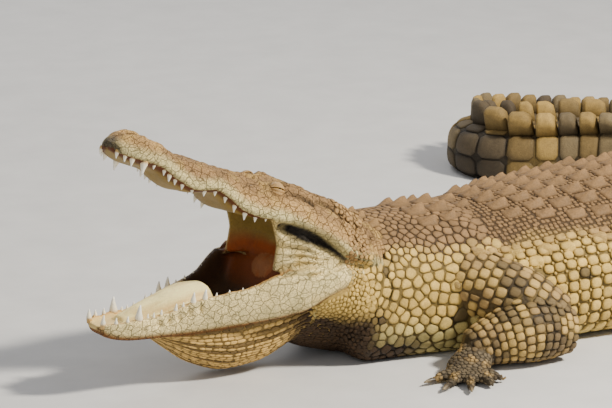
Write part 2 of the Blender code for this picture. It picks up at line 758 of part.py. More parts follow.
def build():
    clear_scene()
    parts = new_collection("nile_crocodile")
    cutters = new_collection("cutters", hidden=True)
    paint = {name: make_material(name, values) for name, values in COLOURS.items()}
    head = make_head(parts, cutters)
    finish(head, paint["head"])
    for side, name in ((-1, "eye_left"), (1, "eye_right")):
        finish(eye_at(side, EYE_RADIUS, name, parts), paint["eye"])
    finish(make_lower_jaw(parts, cutters), paint["jaw"])
    for thing in (make_pouch(parts), make_cheeks(parts)):
        finish(thing, paint["jaw"])
    finish(make_tongue(parts), paint["mouth"])
    for thing in make_body(parts):
        finish(thing, paint["hide"])
    for thing in make_tail(parts):
        finish(thing, paint["tail"])
    clear_of_body = as_cutter(loft("clear_body", lowered(grown(whole_body_rings(), 3 * GAP)), cutters))
    for side, word in ((-1, "left"), (1, "right")):
        fore = ("foreleg_" + word, FORE_ARM, FORE_SHANK, FORE_PALM, FORE_TOES, FORE_AT)
        hind = ("hindleg_" + word, HIND_THIGH, HIND_SHANK, HIND_PALM, HIND_TOES, HIND_AT)
        for leg in (fore, hind):
            pieces, claws = make_leg(*leg, side, cutters, parts)
            for piece in pieces:
                boolean(piece, clear_of_body, "DIFFERENCE")
                finish(piece, paint["limb"])
            for claw in claws:
                finish(claw, paint["claw"])


build()
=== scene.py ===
"""The looks of a life-size Nile crocodile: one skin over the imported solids, and scales, teeth, claws and eyes.

Metres, +Z up, floor at Z = 0, the head towards -X. The sizes repeat those the solids were made from.
"""

import math

import bmesh
import bpy
import numpy as np
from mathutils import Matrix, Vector
from mathutils.bvhtree import BVHTree
from mathutils.kdtree import KDTree


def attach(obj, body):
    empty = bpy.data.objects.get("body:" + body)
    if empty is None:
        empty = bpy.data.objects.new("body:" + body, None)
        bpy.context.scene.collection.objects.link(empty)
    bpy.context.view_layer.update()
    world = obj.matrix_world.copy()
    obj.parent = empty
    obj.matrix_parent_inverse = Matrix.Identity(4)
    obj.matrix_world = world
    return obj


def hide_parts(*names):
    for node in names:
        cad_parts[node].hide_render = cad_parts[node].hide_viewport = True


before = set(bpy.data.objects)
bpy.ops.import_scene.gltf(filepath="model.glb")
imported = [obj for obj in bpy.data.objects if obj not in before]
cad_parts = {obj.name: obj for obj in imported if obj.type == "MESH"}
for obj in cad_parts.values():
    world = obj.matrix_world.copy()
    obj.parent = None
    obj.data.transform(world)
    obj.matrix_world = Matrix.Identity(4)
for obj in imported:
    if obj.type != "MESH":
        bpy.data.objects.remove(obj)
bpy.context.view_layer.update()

CAMERA_AZIMUTH = math.radians(-33.0)
CAMERA_RISE = math.radians(15.0)
CAMERA_DISTANCE = 8.0
CAMERA_TARGET_Z = 0.293
CAMERA_LENS = 254.1
SENSOR = 36.0
LIGHTS_AIM = (-0.3, 0.0, 0.1)
WORLD_TINT = (0.97, 0.97, 1.0, 1.0)
WORLD_STRENGTH = 0.38

BELLY_X = 0.62
SPINE_BENDS = ((0.70, 1.20, 43.0), (1.20, 2.06, 107.0), (1.95, 2.35, -152.0))
SPINE_STEP = 0.005
TAIL_ROOT = 1.24
TAIL_END = 2.93
WHORL_FIRST = 0.060
WHORL_LAST = 0.032
HALF_WIDTH = (
    (0.0, 0.133), (0.10, 0.145), (0.20, 0.167), (0.33, 0.200), (0.47, 0.230), (0.65, 0.248),
    (0.86, 0.245), (1.05, 0.205), (1.24, 0.150), (1.40, 0.122), (1.65, 0.097), (1.95, 0.078),
    (2.20, 0.062), (2.50, 0.043), (2.80, 0.022), (2.93, 0.010),
)
HEIGHT = (
    (0.0, 0.258), (0.10, 0.262), (0.30, 0.254), (0.45, 0.264), (0.70, 0.272), (0.92, 0.268),
    (1.08, 0.250), (1.24, 0.215), (1.40, 0.182), (1.65, 0.152), (1.95, 0.128), (2.20, 0.104),
    (2.50, 0.072), (2.80, 0.036), (2.93, 0.018),
)
CREST = ((1.24, 0.010), (1.45, 0.026), (1.80, 0.044), (2.15, 0.050), (2.50, 0.036), (2.93, 0.006))
CREST_PAIR = ((1.24, 1.0), (1.95, 1.0), (2.15, 0.0), (2.93, 0.0))
TOP_SQUARENESS = ((1.10, 2.05), (1.35, 2.7))
BELLY_MIDDLE = ((1.10, 0.42), (1.35, 0.38))
BELLY_SINK = 1.15
THROAT_RISE = 0.16

# How far the skin lies inside the body's outer form, where scutes cover the back and elsewhere.
ARMOUR_DEPTH = 0.009
COAT_DEPTH = 0.004
LIMB_DEPTH = 0.003

# Where the trunk's scales begin along the spine, and the shares of the half girth where flank and belly begin.
COAT_START = 0.30
FLANK_SHARE = 0.31
BELLY_SHARE = 0.66
GRANULE_PITCH = 0.0105

JAW_JOINT_Z = 0.195
HEAD_PITCH = math.radians(25.0)
HEAD_HALF_WIDTH = (
    (-0.12, 0.110), (-0.03, 0.130), (0.03, 0.132), (0.09, 0.122), (0.15, 0.103), (0.20, 0.086),
    (0.26, 0.071), (0.33, 0.067), (0.375, 0.054), (0.405, 0.046), (0.43, 0.050), (0.46, 0.053),
    (0.482, 0.042), (0.494, 0.024), (0.499, 0.012),
)
HEAD_TOP = (
    (-0.12, 0.086), (-0.03, 0.098), (0.03, 0.107), (0.09, 0.109), (0.14, 0.104), (0.18, 0.094),
    (0.25, 0.092), (0.31, 0.093), (0.35, 0.089), (0.375, 0.0905), (0.41, 0.099), (0.442, 0.099),
    (0.47, 0.093), (0.488, 0.082), (0.499, 0.072),
)
HEAD_TABLE = (
    (-0.12, 0.060), (-0.03, 0.070), (0.03, 0.068), (0.09, 0.060), (0.14, 0.052), (0.18, 0.042),
    (0.25, 0.034), (0.33, 0.034), (0.405, 0.025), (0.45, 0.034), (0.49, 0.016), (0.499, 0.007),
)
LIP = (
    (-0.12, 0.020), (0.013, 0.0275), (0.08, 0.036), (0.15, 0.044), (0.19, 0.036), (0.22, 0.038),
    (0.25, 0.049), (0.28, 0.056), (0.30, 0.051), (0.33, 0.043), (0.36, 0.048), (0.405, 0.061),
    (0.455, 0.059), (0.484, 0.058), (0.499, 0.060),
)
GAPE_RISE = ((0.0, 0.020), (0.04, 0.031), (0.08, 0.036), (0.12, 0.037), (0.142, 0.036))
PALATE_RISE = ((-0.12, 0.0), (0.17, 0.0), (0.21, -0.005), (0.46, -0.006), (0.499, 0.0))
LIP_SAG = ((-0.12, 0.0), (0.172, 0.0), (0.22, 0.013), (0.44, 0.014), (0.499, 0.003))
RIM_SAG = ((-0.462, 0.0), (-0.43, 0.003), (-0.36, 0.008), (-0.20, 0.009), (-0.14, 0.0), (0.05, 0.0))
JAW_HALF_WIDTH = (
    (-0.462, 0.010), (-0.455, 0.025), (-0.44, 0.039), (-0.40, 0.051), (-0.36, 0.054),
    (-0.32, 0.061), (-0.25, 0.079), (-0.18, 0.104), (-0.12, 0.126), (-0.05, 0.141), (0.05, 0.126),
)
JAW_TOP = (
    (-0.462, 0.141), (-0.41, 0.143), (-0.37, 0.144), (-0.33, 0.148), (-0.28, 0.163),
    (-0.22, 0.172), (-0.18, 0.178), (-0.145, 0.192), (-0.10, 0.207), (-0.04, 0.204), (0.05, 0.186),
)
JAW_BOTTOM = (
    (-0.462, 0.129), (-0.445, 0.113), (-0.41, 0.105), (-0.35, 0.101), (-0.28, 0.100),
    (-0.21, 0.105), (-0.13, 0.113), (-0.08, 0.121), (-0.03, 0.142), (0.05, 0.165),
)
FLOOR_DROP = (
    (-0.462, 0.003), (-0.44, 0.010), (-0.25, 0.014), (-0.21, 0.046), (-0.17, 0.056), (-0.125, 0.056),
    (-0.09, 0.010), (-0.07, 0.0), (0.05, 0.0),
)
POUCH_BOTTOM = (
    (-0.345, 0.093), (-0.31, 0.066), (-0.26, 0.032), (-0.19, 0.010), (-0.13, 0.014),
    (-0.085, 0.032), (-0.06, 0.044), (-0.03, 0.030), (0.05, 0.006),
)
POUCH_HALF_WIDTH = ((-0.345, 0.020), (-0.29, 0.045), (-0.20, 0.072), (-0.07, 0.086), (0.05, 0.112))
CHEEK_HALF_WIDTH = 0.116
CHEEK_FRONT = ((0.0, -0.078), (0.04, -0.086), (0.066, -0.112), (0.080, -0.130), (0.116, -0.062))
VALVE_PLACE = (-0.076, 0.166)
VALVE_SIZE = (0.032, 0.060, 0.042)
TONGUE_TOP = ((-0.405, 0.141), (-0.36, 0.157), (-0.30, 0.173), (-0.26, 0.181), (-0.225, 0.180))
TONGUE_HALF_WIDTH = ((-0.405, 0.020), (-0.34, 0.036), (-0.27, 0.046), (-0.225, 0.043))
UPPER_TEETH = (
    (0.490, 0.012), (0.4785, 0.012), (0.466, 0.016), (0.439, 0.024), (0.415, 0.009), (0.391, 0.011),
    (0.379, 0.014), (0.366, 0.011), (0.351, 0.011), (0.330, 0.009), (0.305, 0.012), (0.283, 0.011),
    (0.258, 0.012), (0.235, 0.014), (0.212, 0.015), (0.191, 0.011), (0.172, 0.007),
)
LOWER_TEETH = (
    (0.452, 0.017), (0.432, 0.011), (0.411, 0.011), (0.389, 0.029), (0.371, 0.009), (0.359, 0.009),
    (0.344, 0.011), (0.316, 0.014), (0.302, 0.010), (0.283, 0.021), (0.261, 0.021), (0.240, 0.009),
    (0.217, 0.009), (0.193, 0.008), (0.171, 0.006),
)
EYE_FORWARD = 0.152
EYE_SIDE = 0.050
EYE_RISE = 0.094
EYE_RADIUS = 0.0135
SOCKET_RADIUS = 0.0115
LID_RADIUS = 0.0162

FORE_AT = 0.0
FORE_ARM = (((0.270, 0.120, 0.140), 0.066), ((0.335, 0.205, 0.105), 0.064), ((0.392, 0.262, 0.062), 0.054))
FORE_SHANK = (
    ((0.405, 0.268, 0.055), 0.050), ((0.325, 0.262, 0.062), 0.059), ((0.250, 0.242, 0.048), 0.045),
    ((0.205, 0.232, 0.034), 0.033),
)
FORE_PALM = ((0.190, 0.262), (0.168, 0.284))
FORE_TOES = (
    (5.0, 0.062, True), (32.0, 0.075, True), (58.0, 0.076, True), (85.0, 0.068, False), (112.0, 0.055, False),
)
HIND_AT = 1.09
HIND_THIGH = (((0.02, 0.090, 0.125), 0.088), ((-0.06, 0.180, 0.110), 0.080), ((-0.135, 0.260, 0.085), 0.058))
HIND_SHANK = (
    ((-0.145, 0.268, 0.080), 0.055), ((-0.06, 0.300, 0.070), 0.058), ((0.020, 0.322, 0.050), 0.044),
    ((0.055, 0.330, 0.040), 0.036),
)
HIND_PALM = ((-0.015, 0.372), (-0.060, 0.400))
HIND_TOES = ((12.0, 0.100, True), (30.0, 0.118, True), (48.0, 0.118, True), (66.0, 0.098, False))
KNUCKLE_REACH = 0.026
CLAW_LENGTH = 0.026
SIDES = ((-1, "left"), (1, "right"))
LEGS = (("foreleg", FORE_ARM, FORE_SHANK, FORE_PALM, FORE_TOES, FORE_AT),
        ("hindleg", HIND_THIGH, HIND_SHANK, HIND_PALM, HIND_TOES, HIND_AT))
FOOT_NODES = [leg[0] + "_" + word + "_foot" for leg in LEGS for _, word in SIDES]

# The skin's voxel size, and how far back from the jaw joints its mesh is twice as fine.
VOXEL = 0.007
FINE_UNTIL = 0.13
FLOOR_CLEARANCE = 0.0015
SCALE_CLEARANCE = 0.0004

(HEAD_PART, JAW_PART, CHEEK_PART, POUCH_PART, TONGUE_PART, VALVE_PART, BODY_PART, LEG_PART,
 FOOT_PART) = range(9)


# ---- numbers --------

def smooth(table, places):
    """The table's values at many places, on a smooth curve that never overshoots its points."""
    xs, ys = np.array(table, float).T
    steps = np.diff(xs)
    slopes = np.diff(ys) / steps
    tangents = np.concatenate((slopes[:1], np.zeros(len(xs) - 2), slopes[-1:]))
    product = slopes[:-1] * slopes[1:]
    total = np.where(product > 0, slopes[:-1] + slopes[1:], 1.0)
    tangents[1:-1] = np.where(product > 0, 2 * product / total, 0.0)
    places = np.clip(places, xs[0], xs[-1])
    i = np.clip(np.searchsorted(xs, places, side="right") - 1, 0, len(steps) - 1)
    t = (places - xs[i]) / steps[i]
    start = (1 + 2 * t) * (1 - t) ** 2 * ys[i] + t * (1 - t) ** 2 * steps[i] * tangents[i]
    return start + t * t * (3 - 2 * t) * ys[i + 1] + t * t * (t - 1) * steps[i] * tangents[i + 1]


def ramp(values, low, high):
    """Rises smoothly from 0 at low to 1 at high."""
    t = np.clip((values - low) / (high - low), 0.0, 1.0)
    return t * t * (3 - 2 * t)


def bell(values, width):
    """1 at zero, falling smoothly to nothing over about twice the width."""
    return np.exp(-(values / width) ** 2)


def unit(vectors):
    """The same directions at length 1."""
    length = np.linalg.norm(vectors, axis=-1, keepdims=True)
    return vectors / np.maximum(length, 1e-12)


def lattice(cells, seed):
    """A fixed random value from -1 to 1 for each whole-numbered cell."""
    mixed = cells[..., 0] * 374761393 + cells[..., 1] * 668265263 + cells[..., 2] * 2147483647 + seed * 974634777
    mixed = (mixed ^ (mixed >> 13)) * 1274126177
    return ((mixed ^ (mixed >> 16)) & 65535) / 32767.5 - 1.0


def noise(points, size, seed=0):
    """Smooth random values from -1 to 1 that change over the given size."""
    scaled = np.asarray(points, float) / size
    base = np.floor(scaled).astype(np.int64)
    share = scaled - base
    share = share * share * (3 - 2 * share)
    result = 0.0
    for corner in np.ndindex(2, 2, 2):
        weight = np.prod(np.where(corner, share, 1 - share), axis=-1)
        result = result + weight * lattice(base + np.array(corner), seed)
    return result


def colour(red, green, blue):
    """A display colour of 0 to 255 as the linear light that Blender works in."""
    values = np.array((red, green, blue)) / 255
    return np.where(values <= 0.04045, values / 12.92, ((values + 0.055) / 1.055) ** 2.4)


def blend(first, second, share):
    """From the first colour at share 0 to the second at share 1."""
    share = np.asarray(share, float)[..., None]
    return first * (1 - share) + second * share


# ---- the body's forms --------

def spine_heading(distance):
    """The way the spine runs at a distance behind the head, as an angle about Z."""
    heading = np.zeros_like(np.asarray(distance, float))
    for start, end, turn in SPINE_BENDS:
        heading = heading + math.radians(turn) * ramp(distance, start, end)
    return heading


SPINE_PLACES = np.arange(0.0, TAIL_END + 3 * SPINE_STEP, SPINE_STEP)
STEP_HEADINGS = spine_heading(SPINE_PLACES[:-1] + SPINE_STEP / 2)
SPINE_X = np.concatenate(([0.0], np.cumsum(np.cos(STEP_HEADINGS)))) * SPINE_STEP - BELLY_X
SPINE_Y = np.concatenate(([0.0], np.cumsum(np.sin(STEP_HEADINGS)))) * SPINE_STEP


def spine_place(distance, outward, up):
    """Points beside the spine; outward is positive on the animal's right."""
    distance = np.asarray(distance, float)
    heading = spine_heading(distance)
    x = np.interp(distance, SPINE_PLACES, SPINE_X) + np.minimum(distance, 0.0)
    y = np.interp(distance, SPINE_PLACES, SPINE_Y)
    return np.stack(np.broadcast_arrays(x - outward * np.sin(heading), y + outward * np.cos(heading), up), -1)


def head_point(forward, across, up):
    """A place given in the pitched head's own frame, in the world."""
    x = -forward * math.cos(HEAD_PITCH) + up * math.sin(HEAD_PITCH) - BELLY_X
    z = forward * math.sin(HEAD_PITCH) + up * math.cos(HEAD_PITCH) + JAW_JOINT_Z
    return np.stack(np.broadcast_arrays(x, across, z), -1).astype(float)


def head_local(points):
    """(forward, across, up) in the pitched head's own frame."""
    x = points[:, 0] + BELLY_X
    z = points[:, 2] - JAW_JOINT_Z
    forward = -x * math.cos(HEAD_PITCH) + z * math.sin(HEAD_PITCH)
    return forward, points[:, 1], x * math.sin(HEAD_PITCH) + z * math.cos(HEAD_PITCH)


class Sheet:
    """A surface as a grid of points, read at places along it (u, in its own units) and across it (v, -1 to 1)."""

    def __init__(self, along, points, flip=False):
        self.along = along
        self.points = points
        self.normals = unit(np.cross(np.gradient(points, axis=0), np.gradient(points, axis=1)))
        if flip:
            self.normals = -self.normals
        self.girth = np.linalg.norm(np.diff(points, axis=1), axis=2).sum(1)

    def read(self, grid, u, v):
        rows = np.interp(u, self.along, np.arange(len(self.along)))
        columns = np.clip((v + 1) / 2, 0, 1) * (grid.shape[1] - 1)
        i = np.minimum(rows.astype(int), grid.shape[0] - 2)
        j = np.minimum(columns.astype(int), grid.shape[1] - 2)
        a = (rows - i)[..., None]
        b = (columns - j)[..., None]
        near = grid[i, j] * (1 - b) + grid[i, j + 1] * b
        far = grid[i + 1, j] * (1 - b) + grid[i + 1, j + 1] * b
        return near * (1 - a) + far * a

    def at(self, u, v, offset=0.0):
        """Points on the surface, or above it by the offset."""
        return self.read(self.points, u, v) + np.asarray(offset)[..., None] * unit(self.read(self.normals, u, v))

    def girth_at(self, u):
        return np.interp(u, self.along, self.girth)


def even_outline(across, up, count):
    """Rows of outline points spread evenly by length: (rows, dense) arrays in, (rows, count) arrays out."""
    length = np.hypot(np.diff(across, axis=1), np.diff(up, axis=1)).cumsum(1)
    length = np.concatenate((np.zeros((len(across), 1)), length), axis=1)
    wanted = np.linspace(0, 1, count)
    new_across = [np.interp(wanted * l[-1], l, a) for l, a in zip(length, across)]
    new_up = [np.interp(wanted * l[-1], l, a) for l, a in zip(length, up)]
    return np.array(new_across), np.array(new_up)


def body_sheet(inset, columns=49):
    """Neck, trunk and tail, from the back's midline (v = 0) to the belly's (v = -1 on the left, 1 on the right)."""
    along = np.arange(-0.04, TAIL_END + 0.001, 0.01)
    angle = np.linspace(0, math.pi, 181)[None, :]
    half_width = smooth(HALF_WIDTH, along)[:, None]
    height = smooth(HEIGHT, along)[:, None]
    middle = smooth(BELLY_MIDDLE, along)[:, None] * height
    squareness = np.where(angle < math.pi / 2, smooth(TOP_SQUARENESS, along)[:, None], 3.2)
    across = half_width * np.abs(np.sin(angle)) ** (2 / squareness)
    share = np.sign(np.cos(angle)) * np.abs(np.cos(angle)) ** (2 / squareness)
    up = middle + share * np.where(share > 0, height - middle, BELLY_SINK * middle)
    across, up = even_outline(across, np.maximum(up, 0.0), columns)
    across = np.concatenate((-across[:, :0:-1], across), axis=1)
    up = np.concatenate((up[:, :0:-1], up), axis=1)
    below = np.minimum(up - THROAT_RISE, 0.0)
    closing = (1 - ramp(along, -0.03, 0.07))[:, None]
    across = across * (1 + 1.8 * closing * below)
    up = up - 0.55 * closing * below
    sheet = Sheet(along, spine_place(along[:, None], across, up))
    share = np.abs(np.linspace(-1, 1, across.shape[1]))[None, :]
    back = 1 - ramp(share, 0.26, 0.36)
    trunk = ramp(along, 0.28, 0.40) * (1 - ramp(along, 1.20, 1.40))
    depth = COAT_DEPTH + (ARMOUR_DEPTH - COAT_DEPTH) * back * trunk[:, None]
    depth = depth * (0.25 + 0.75 * ramp(along, 0.0, 0.08))[:, None]
    points = sheet.points - (inset * np.minimum(depth, 0.25 * half_width))[..., None] * sheet.normals
    points[..., 2] = np.maximum(points[..., 2], FLOOR_CLEARANCE)
    return Sheet(along, points)


def curve_through(outline, pieces):
    """Smooth closed outlines (rows, points, 2) through coarse ones, with the given number of pieces a side."""
    before, start, end, after = (np.roll(outline, shift, axis=1) for shift in (1, 0, -1, -2))
    result = []
    for k in range(pieces):
        t = k / pieces
        point = 2 * start + (end - before) * t + (2 * before - 5 * start + 4 * end - after) * t * t
        result.append(0.5 * (point + (3 * start - before - 3 * end + after) * t ** 3))
    return np.stack(result, axis=2).reshape(outline.shape[0], -1, 2)


def whole_outline(half):
    """(rows, points, 2) closed outlines from halves that start and end on the middle plane."""
    half = np.stack([np.stack(np.broadcast_arrays(*pair), -1) for pair in half], axis=1)
    other = half[:, -2:0:-1] * np.array((-1.0, 1.0))
    return np.concatenate((half, other), axis=1)


def lip_sag(forward, across):
    """How much lower the lip lies at a place across the head than it would on a level head."""
    return smooth(LIP_SAG, forward) * (0.5 + 0.5 * across / smooth(HEAD_HALF_WIDTH, forward))


def head_rings(pieces=6):
    """The skull and upper jaw, from behind the ears to the snout's tip."""
    forward = np.concatenate((np.arange(-0.115, 0.46, 0.008), np.arange(0.462, 0.4985, 0.004), [0.499]))
    half_width = smooth(HEAD_HALF_WIDTH, forward)
    top = smooth(HEAD_TOP, forward)
    table = smooth(HEAD_TABLE, forward)
    lip = smooth(LIP, forward)
    palate = lip + smooth(PALATE_RISE, forward)
    depth = top - lip
    zero = 0 * lip
    half = [(zero, palate), (0.5 * half_width, palate), (0.90 * half_width, lip)]
    half += [(half_width, lip + 0.18 * depth), (0.55 * half_width + 0.45 * table + 0.006, lip + 0.62 * depth)]
    half += [(table, top), (zero, top)]
    outline = whole_outline(half)
    low = 1 - (outline[..., 1] - lip[:, None]) / depth[:, None]
    outline[..., 1] -= low * lip_sag(forward[:, None], outline[..., 0])
    outline = curve_through(outline, pieces)
    return head_point(forward[:, None], outline[..., 0], outline[..., 1])


def jaw_rings(pieces=6):
    """The lower jaw with the floor of the mouth, from its tip back to the throat."""
    x = np.concatenate(([-0.462, -0.459], np.arange(-0.455, 0.05, 0.008), [0.05]))
    half_width = smooth(JAW_HALF_WIDTH, x)
    top = smooth(JAW_TOP, x)
    bottom = smooth(JAW_BOTTOM, x)
    floor = top - smooth(FLOOR_DROP, x)
    depth = top - bottom
    zero = 0 * x
    half = [(zero, bottom), (0.72 * half_width, bottom), (0.93 * half_width, bottom + 0.22 * depth)]
    half += [(half_width, bottom + 0.62 * depth), (0.95 * half_width, top), (0.80 * half_width, top)]
    half += [(0.66 * half_width, floor), (zero, floor)]
    outline = whole_outline(half)
    outline[:, 4:6, 1] -= smooth(RIM_SAG, x)[:, None]
    outline = curve_through(outline, pieces)
    return np.stack(np.broadcast_arrays(x[:, None] - BELLY_X, outline[..., 0], outline[..., 1]), -1)


def arch_rings(x, half_width, base, crown, power):
    """Rings of an arch that stands or hangs on a flat base."""
    angle = np.linspace(0, math.pi, 33)[None, :]
    up = base[:, None] + (crown - base)[:, None] * np.sin(angle) ** power
    return np.stack(np.broadcast_arrays(x[:, None] - BELLY_X, half_width[:, None] * np.cos(angle), up), -1)


def pouch_rings(overlap=0.004):
    """The loose skin that hangs under the lower jaw."""
    x = np.concatenate((np.arange(-0.345, 0.05, 0.01), [0.05]))
    base = smooth(JAW_BOTTOM, x) + overlap
    return arch_rings(x, smooth(POUCH_HALF_WIDTH, x), base, smooth(POUCH_BOTTOM, x), 0.8)


def tongue_rings(overlap=0.003):
    """The tongue, which lies on the floor of the mouth."""
    x = np.arange(-0.405, -0.224, 0.01)
    base = smooth(JAW_TOP, x) - smooth(FLOOR_DROP, x) - overlap
    return arch_rings(x, smooth(TONGUE_HALF_WIDTH, x), base, smooth(TONGUE_TOP, x), 0.7)


def head_underside(x):
    """The height of the palate above a place along the lower jaw."""
    forward = np.linspace(0.30, -0.12, 200)
    line = head_point(forward, 0.0, smooth(LIP, forward))
    return np.interp(x, line[:, 0] + BELLY_X, line[:, 2])


def cheek_rings(overlap=0.004, count=31):
    """The wall of flesh that joins the jaws at the back of the mouth."""
    rings = []
    for share in np.linspace(-1, 1, count):
        across = share * CHEEK_HALF_WIDTH
        x = np.linspace(float(smooth(CHEEK_FRONT, abs(across))), 0.05, 16)
        lower = smooth(JAW_TOP, x) - overlap
        upper = head_underside(x) + overlap - (overlap + 0.010) * abs(share) ** 6
        ring = [(a, across, b) for a, b in zip(x, lower)] + [(a, across, b) for a, b in zip(x[::-1], upper[::-1])]
        front = (0.5 * (ring[0][0] + ring[-1][0]) + 0.012, across, 0.5 * (ring[0][2] + ring[-1][2]))
        rings.append(ring + [front])
    return np.array(rings) - np.array((BELLY_X, 0.0, 0.0))


def limb_place(at, tailward, outward, up, side):
    """A place on a leg, measured from the spine at the leg's root."""
    heading = spine_heading(at)
    forward = np.array((math.cos(heading), math.sin(heading), 0.0))
    return spine_place(at, side * outward, up) + tailward * forward


def limb_sheet(joints, at, side, depth, columns=33):
    """A limb's tube: u runs from 0 to its length and v once round it."""
    centres = np.array([limb_place(at, *place, side) for place, _ in joints])
    radii = [radius for _, radius in joints]
    knots = np.concatenate(([0.0], np.cumsum(np.linalg.norm(np.diff(centres, axis=0), axis=1))))
    along = np.linspace(0, knots[-1], 25)
    path = np.stack([smooth(list(zip(knots, centres[:, k])), along) for k in range(3)], -1)
    radius = smooth(list(zip(knots, radii)), along)
    radius = radius + 0.02 * radius * np.sin(math.pi * along / knots[-1]) - depth
    run = unit(np.gradient(path, axis=0))
    aside = unit(np.cross(run, (0.0, 0.0, 1.0)))
    over = np.cross(aside, run)
    angle = np.linspace(0, 2 * math.pi, columns)[None, :, None]
    ring = np.cos(angle) * aside[:, None] + np.sin(angle) * over[:, None]
    points = path[:, None] + radius[:, None, None] * ring
    points[..., 2] = np.maximum(points[..., 2], FLOOR_CLEARANCE)
    sheet = Sheet(along, points)
    outward = ((points - path[:, None]) * sheet.normals).sum() > 0
    return sheet if outward else Sheet(along, points, flip=True)


# ---- meshes --------

def make_mesh(name, points, faces):
    """A smooth-shaded mesh object from arrays; the faces all have the same number of corners."""
    mesh = bpy.data.meshes.new(name)
    corners = faces.shape[1]
    mesh.vertices.add(len(points))
    mesh.vertices.foreach_set("co", np.ascontiguousarray(points, np.float32).ravel())
    mesh.loops.add(faces.size)
    mesh.loops.foreach_set("vertex_index", np.ascontiguousarray(faces, np.int32).ravel())
    mesh.polygons.add(len(faces))
    mesh.polygons.foreach_set("loop_start", np.arange(0, faces.size, corners, dtype=np.int32))
    mesh.update(calc_edges=True)
    mesh.shade_smooth()
    thing = bpy.data.objects.new(name, mesh)
    bpy.context.scene.collection.objects.link(thing)
    return thing


def paint_points(thing, colours, name="Col"):
    layer = thing.data.color_attributes.new(name, "FLOAT_COLOR", "POINT")
    values = np.ones((len(thing.data.vertices), 4), np.float32)
    values[:, :3] = colours
    layer.data.foreach_set("color", values.ravel())


def make_piece(name, points, faces, colours, material):
    """A painted mesh that rides the body and fills a material slot."""
    thing = make_mesh(name, points, faces)
    paint_points(thing, colours)
    thing.data.materials.append(material)
    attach(thing, "root")
    return thing


def mark_points(thing, values, name):
    layer = thing.data.attributes.new(name, "FLOAT", "POINT")
    layer.data.foreach_set("value", np.ascontiguousarray(values, np.float32))


def ring_faces(rows, columns, closed=True):
    """Quads between neighbouring rings."""
    last = columns if closed else columns - 1
    i, j = np.meshgrid(np.arange(rows - 1), np.arange(last), indexing="ij")
    i, j = i.ravel(), j.ravel()
    k = (j + 1) % columns
    return np.stack((i * columns + j, i * columns + k, (i + 1) * columns + k, (i + 1) * columns + j), -1)


def split_quads(quads):
    """Two triangles for each quad."""
    return np.concatenate((quads[:, [0, 1, 2]], quads[:, [0, 2, 3]]))


def closed_loft(rings):
    """Points and triangles of a loft with both ends closed by fans."""
    rows, columns = rings.shape[:2]
    points = np.concatenate((rings.reshape(-1, 3), [rings[0].mean(0), rings[-1].mean(0)]))
    faces = split_quads(ring_faces(rows, columns))
    j = np.arange(columns)
    k = (j + 1) % columns
    first = np.stack((k, j, np.full(columns, rows * columns)), -1)
    base = (rows - 1) * columns
    last = np.stack((base + j, base + k, np.full(columns, rows * columns + 1)), -1)
    faces = np.concatenate((faces, first, last))
    a, b, c = points[faces[:, 0]], points[faces[:, 1]], points[faces[:, 2]]
    if (np.cross(b, c) * a).sum() < 0:
        faces = faces[:, ::-1]
    return points, faces


def node_triangles(name):
    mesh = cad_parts[name].data
    mesh.calc_loop_triangles()
    points = np.empty(len(mesh.vertices) * 3, np.float32)
    mesh.vertices.foreach_get("co", points)
    faces = np.empty(len(mesh.loop_triangles) * 3, np.int32)
    mesh.loop_triangles.foreach_get("vertices", faces)
    return points.reshape(-1, 3).astype(float), faces.reshape(-1, 3)


def mesh_arrays(thing):
    points = np.empty(len(thing.data.vertices) * 3, np.float32)
    thing.data.vertices.foreach_get("co", points)
    edges = np.empty(len(thing.data.edges) * 2, np.int32)
    thing.data.edges.foreach_get("vertices", edges)
    return points.reshape(-1, 3).astype(float), edges.reshape(-1, 2)


def mesh_normals(thing):
    normals = np.empty(len(thing.data.vertices) * 3, np.float32)
    thing.data.vertices.foreach_get("normal", normals)
    return normals.reshape(-1, 3).astype(float)


def set_points(thing, points):
    thing.data.vertices.foreach_set("co", np.ascontiguousarray(points, np.float32).ravel())
    thing.data.update()


def relax(points, edges, rounds, strength):
    """Moves each point towards the middle of its neighbours, a number of times."""
    number = len(points)
    ends = np.concatenate((edges[:, 0], edges[:, 1]))
    others = np.concatenate((edges[:, 1], edges[:, 0]))
    degree = np.maximum(np.bincount(ends, minlength=number), 1)[:, None]
    strength = np.broadcast_to(strength, (number,))[:, None]
    for _ in range(rounds):
        total = np.stack([np.bincount(ends, points[others, k], number) for k in range(3)], -1)
        points = points + strength * (total / degree - points)
    return points


# ---- the skin --------

class Forms:
    """Every form under the skin as one set of triangles, each with its part and its place on that part."""

    def __init__(self):
        self.points = []
        self.faces = []
        self.parts = []
        self.places = []
        self.count = 0

    def add(self, points, faces, part, places=None):
        self.points.append(points)
        self.faces.append(faces + self.count)
        self.parts.append(np.full(len(faces), part))
        self.places.append(np.zeros((len(faces), 2)) if places is None else places)
        self.count += len(points)

    def joined(self):
        return tuple(np.concatenate(group) for group in (self.points, self.faces, self.parts, self.places))


def add_loft(forms, rings, part):
    points, faces = closed_loft(rings)
    forms.add(points, faces, part)


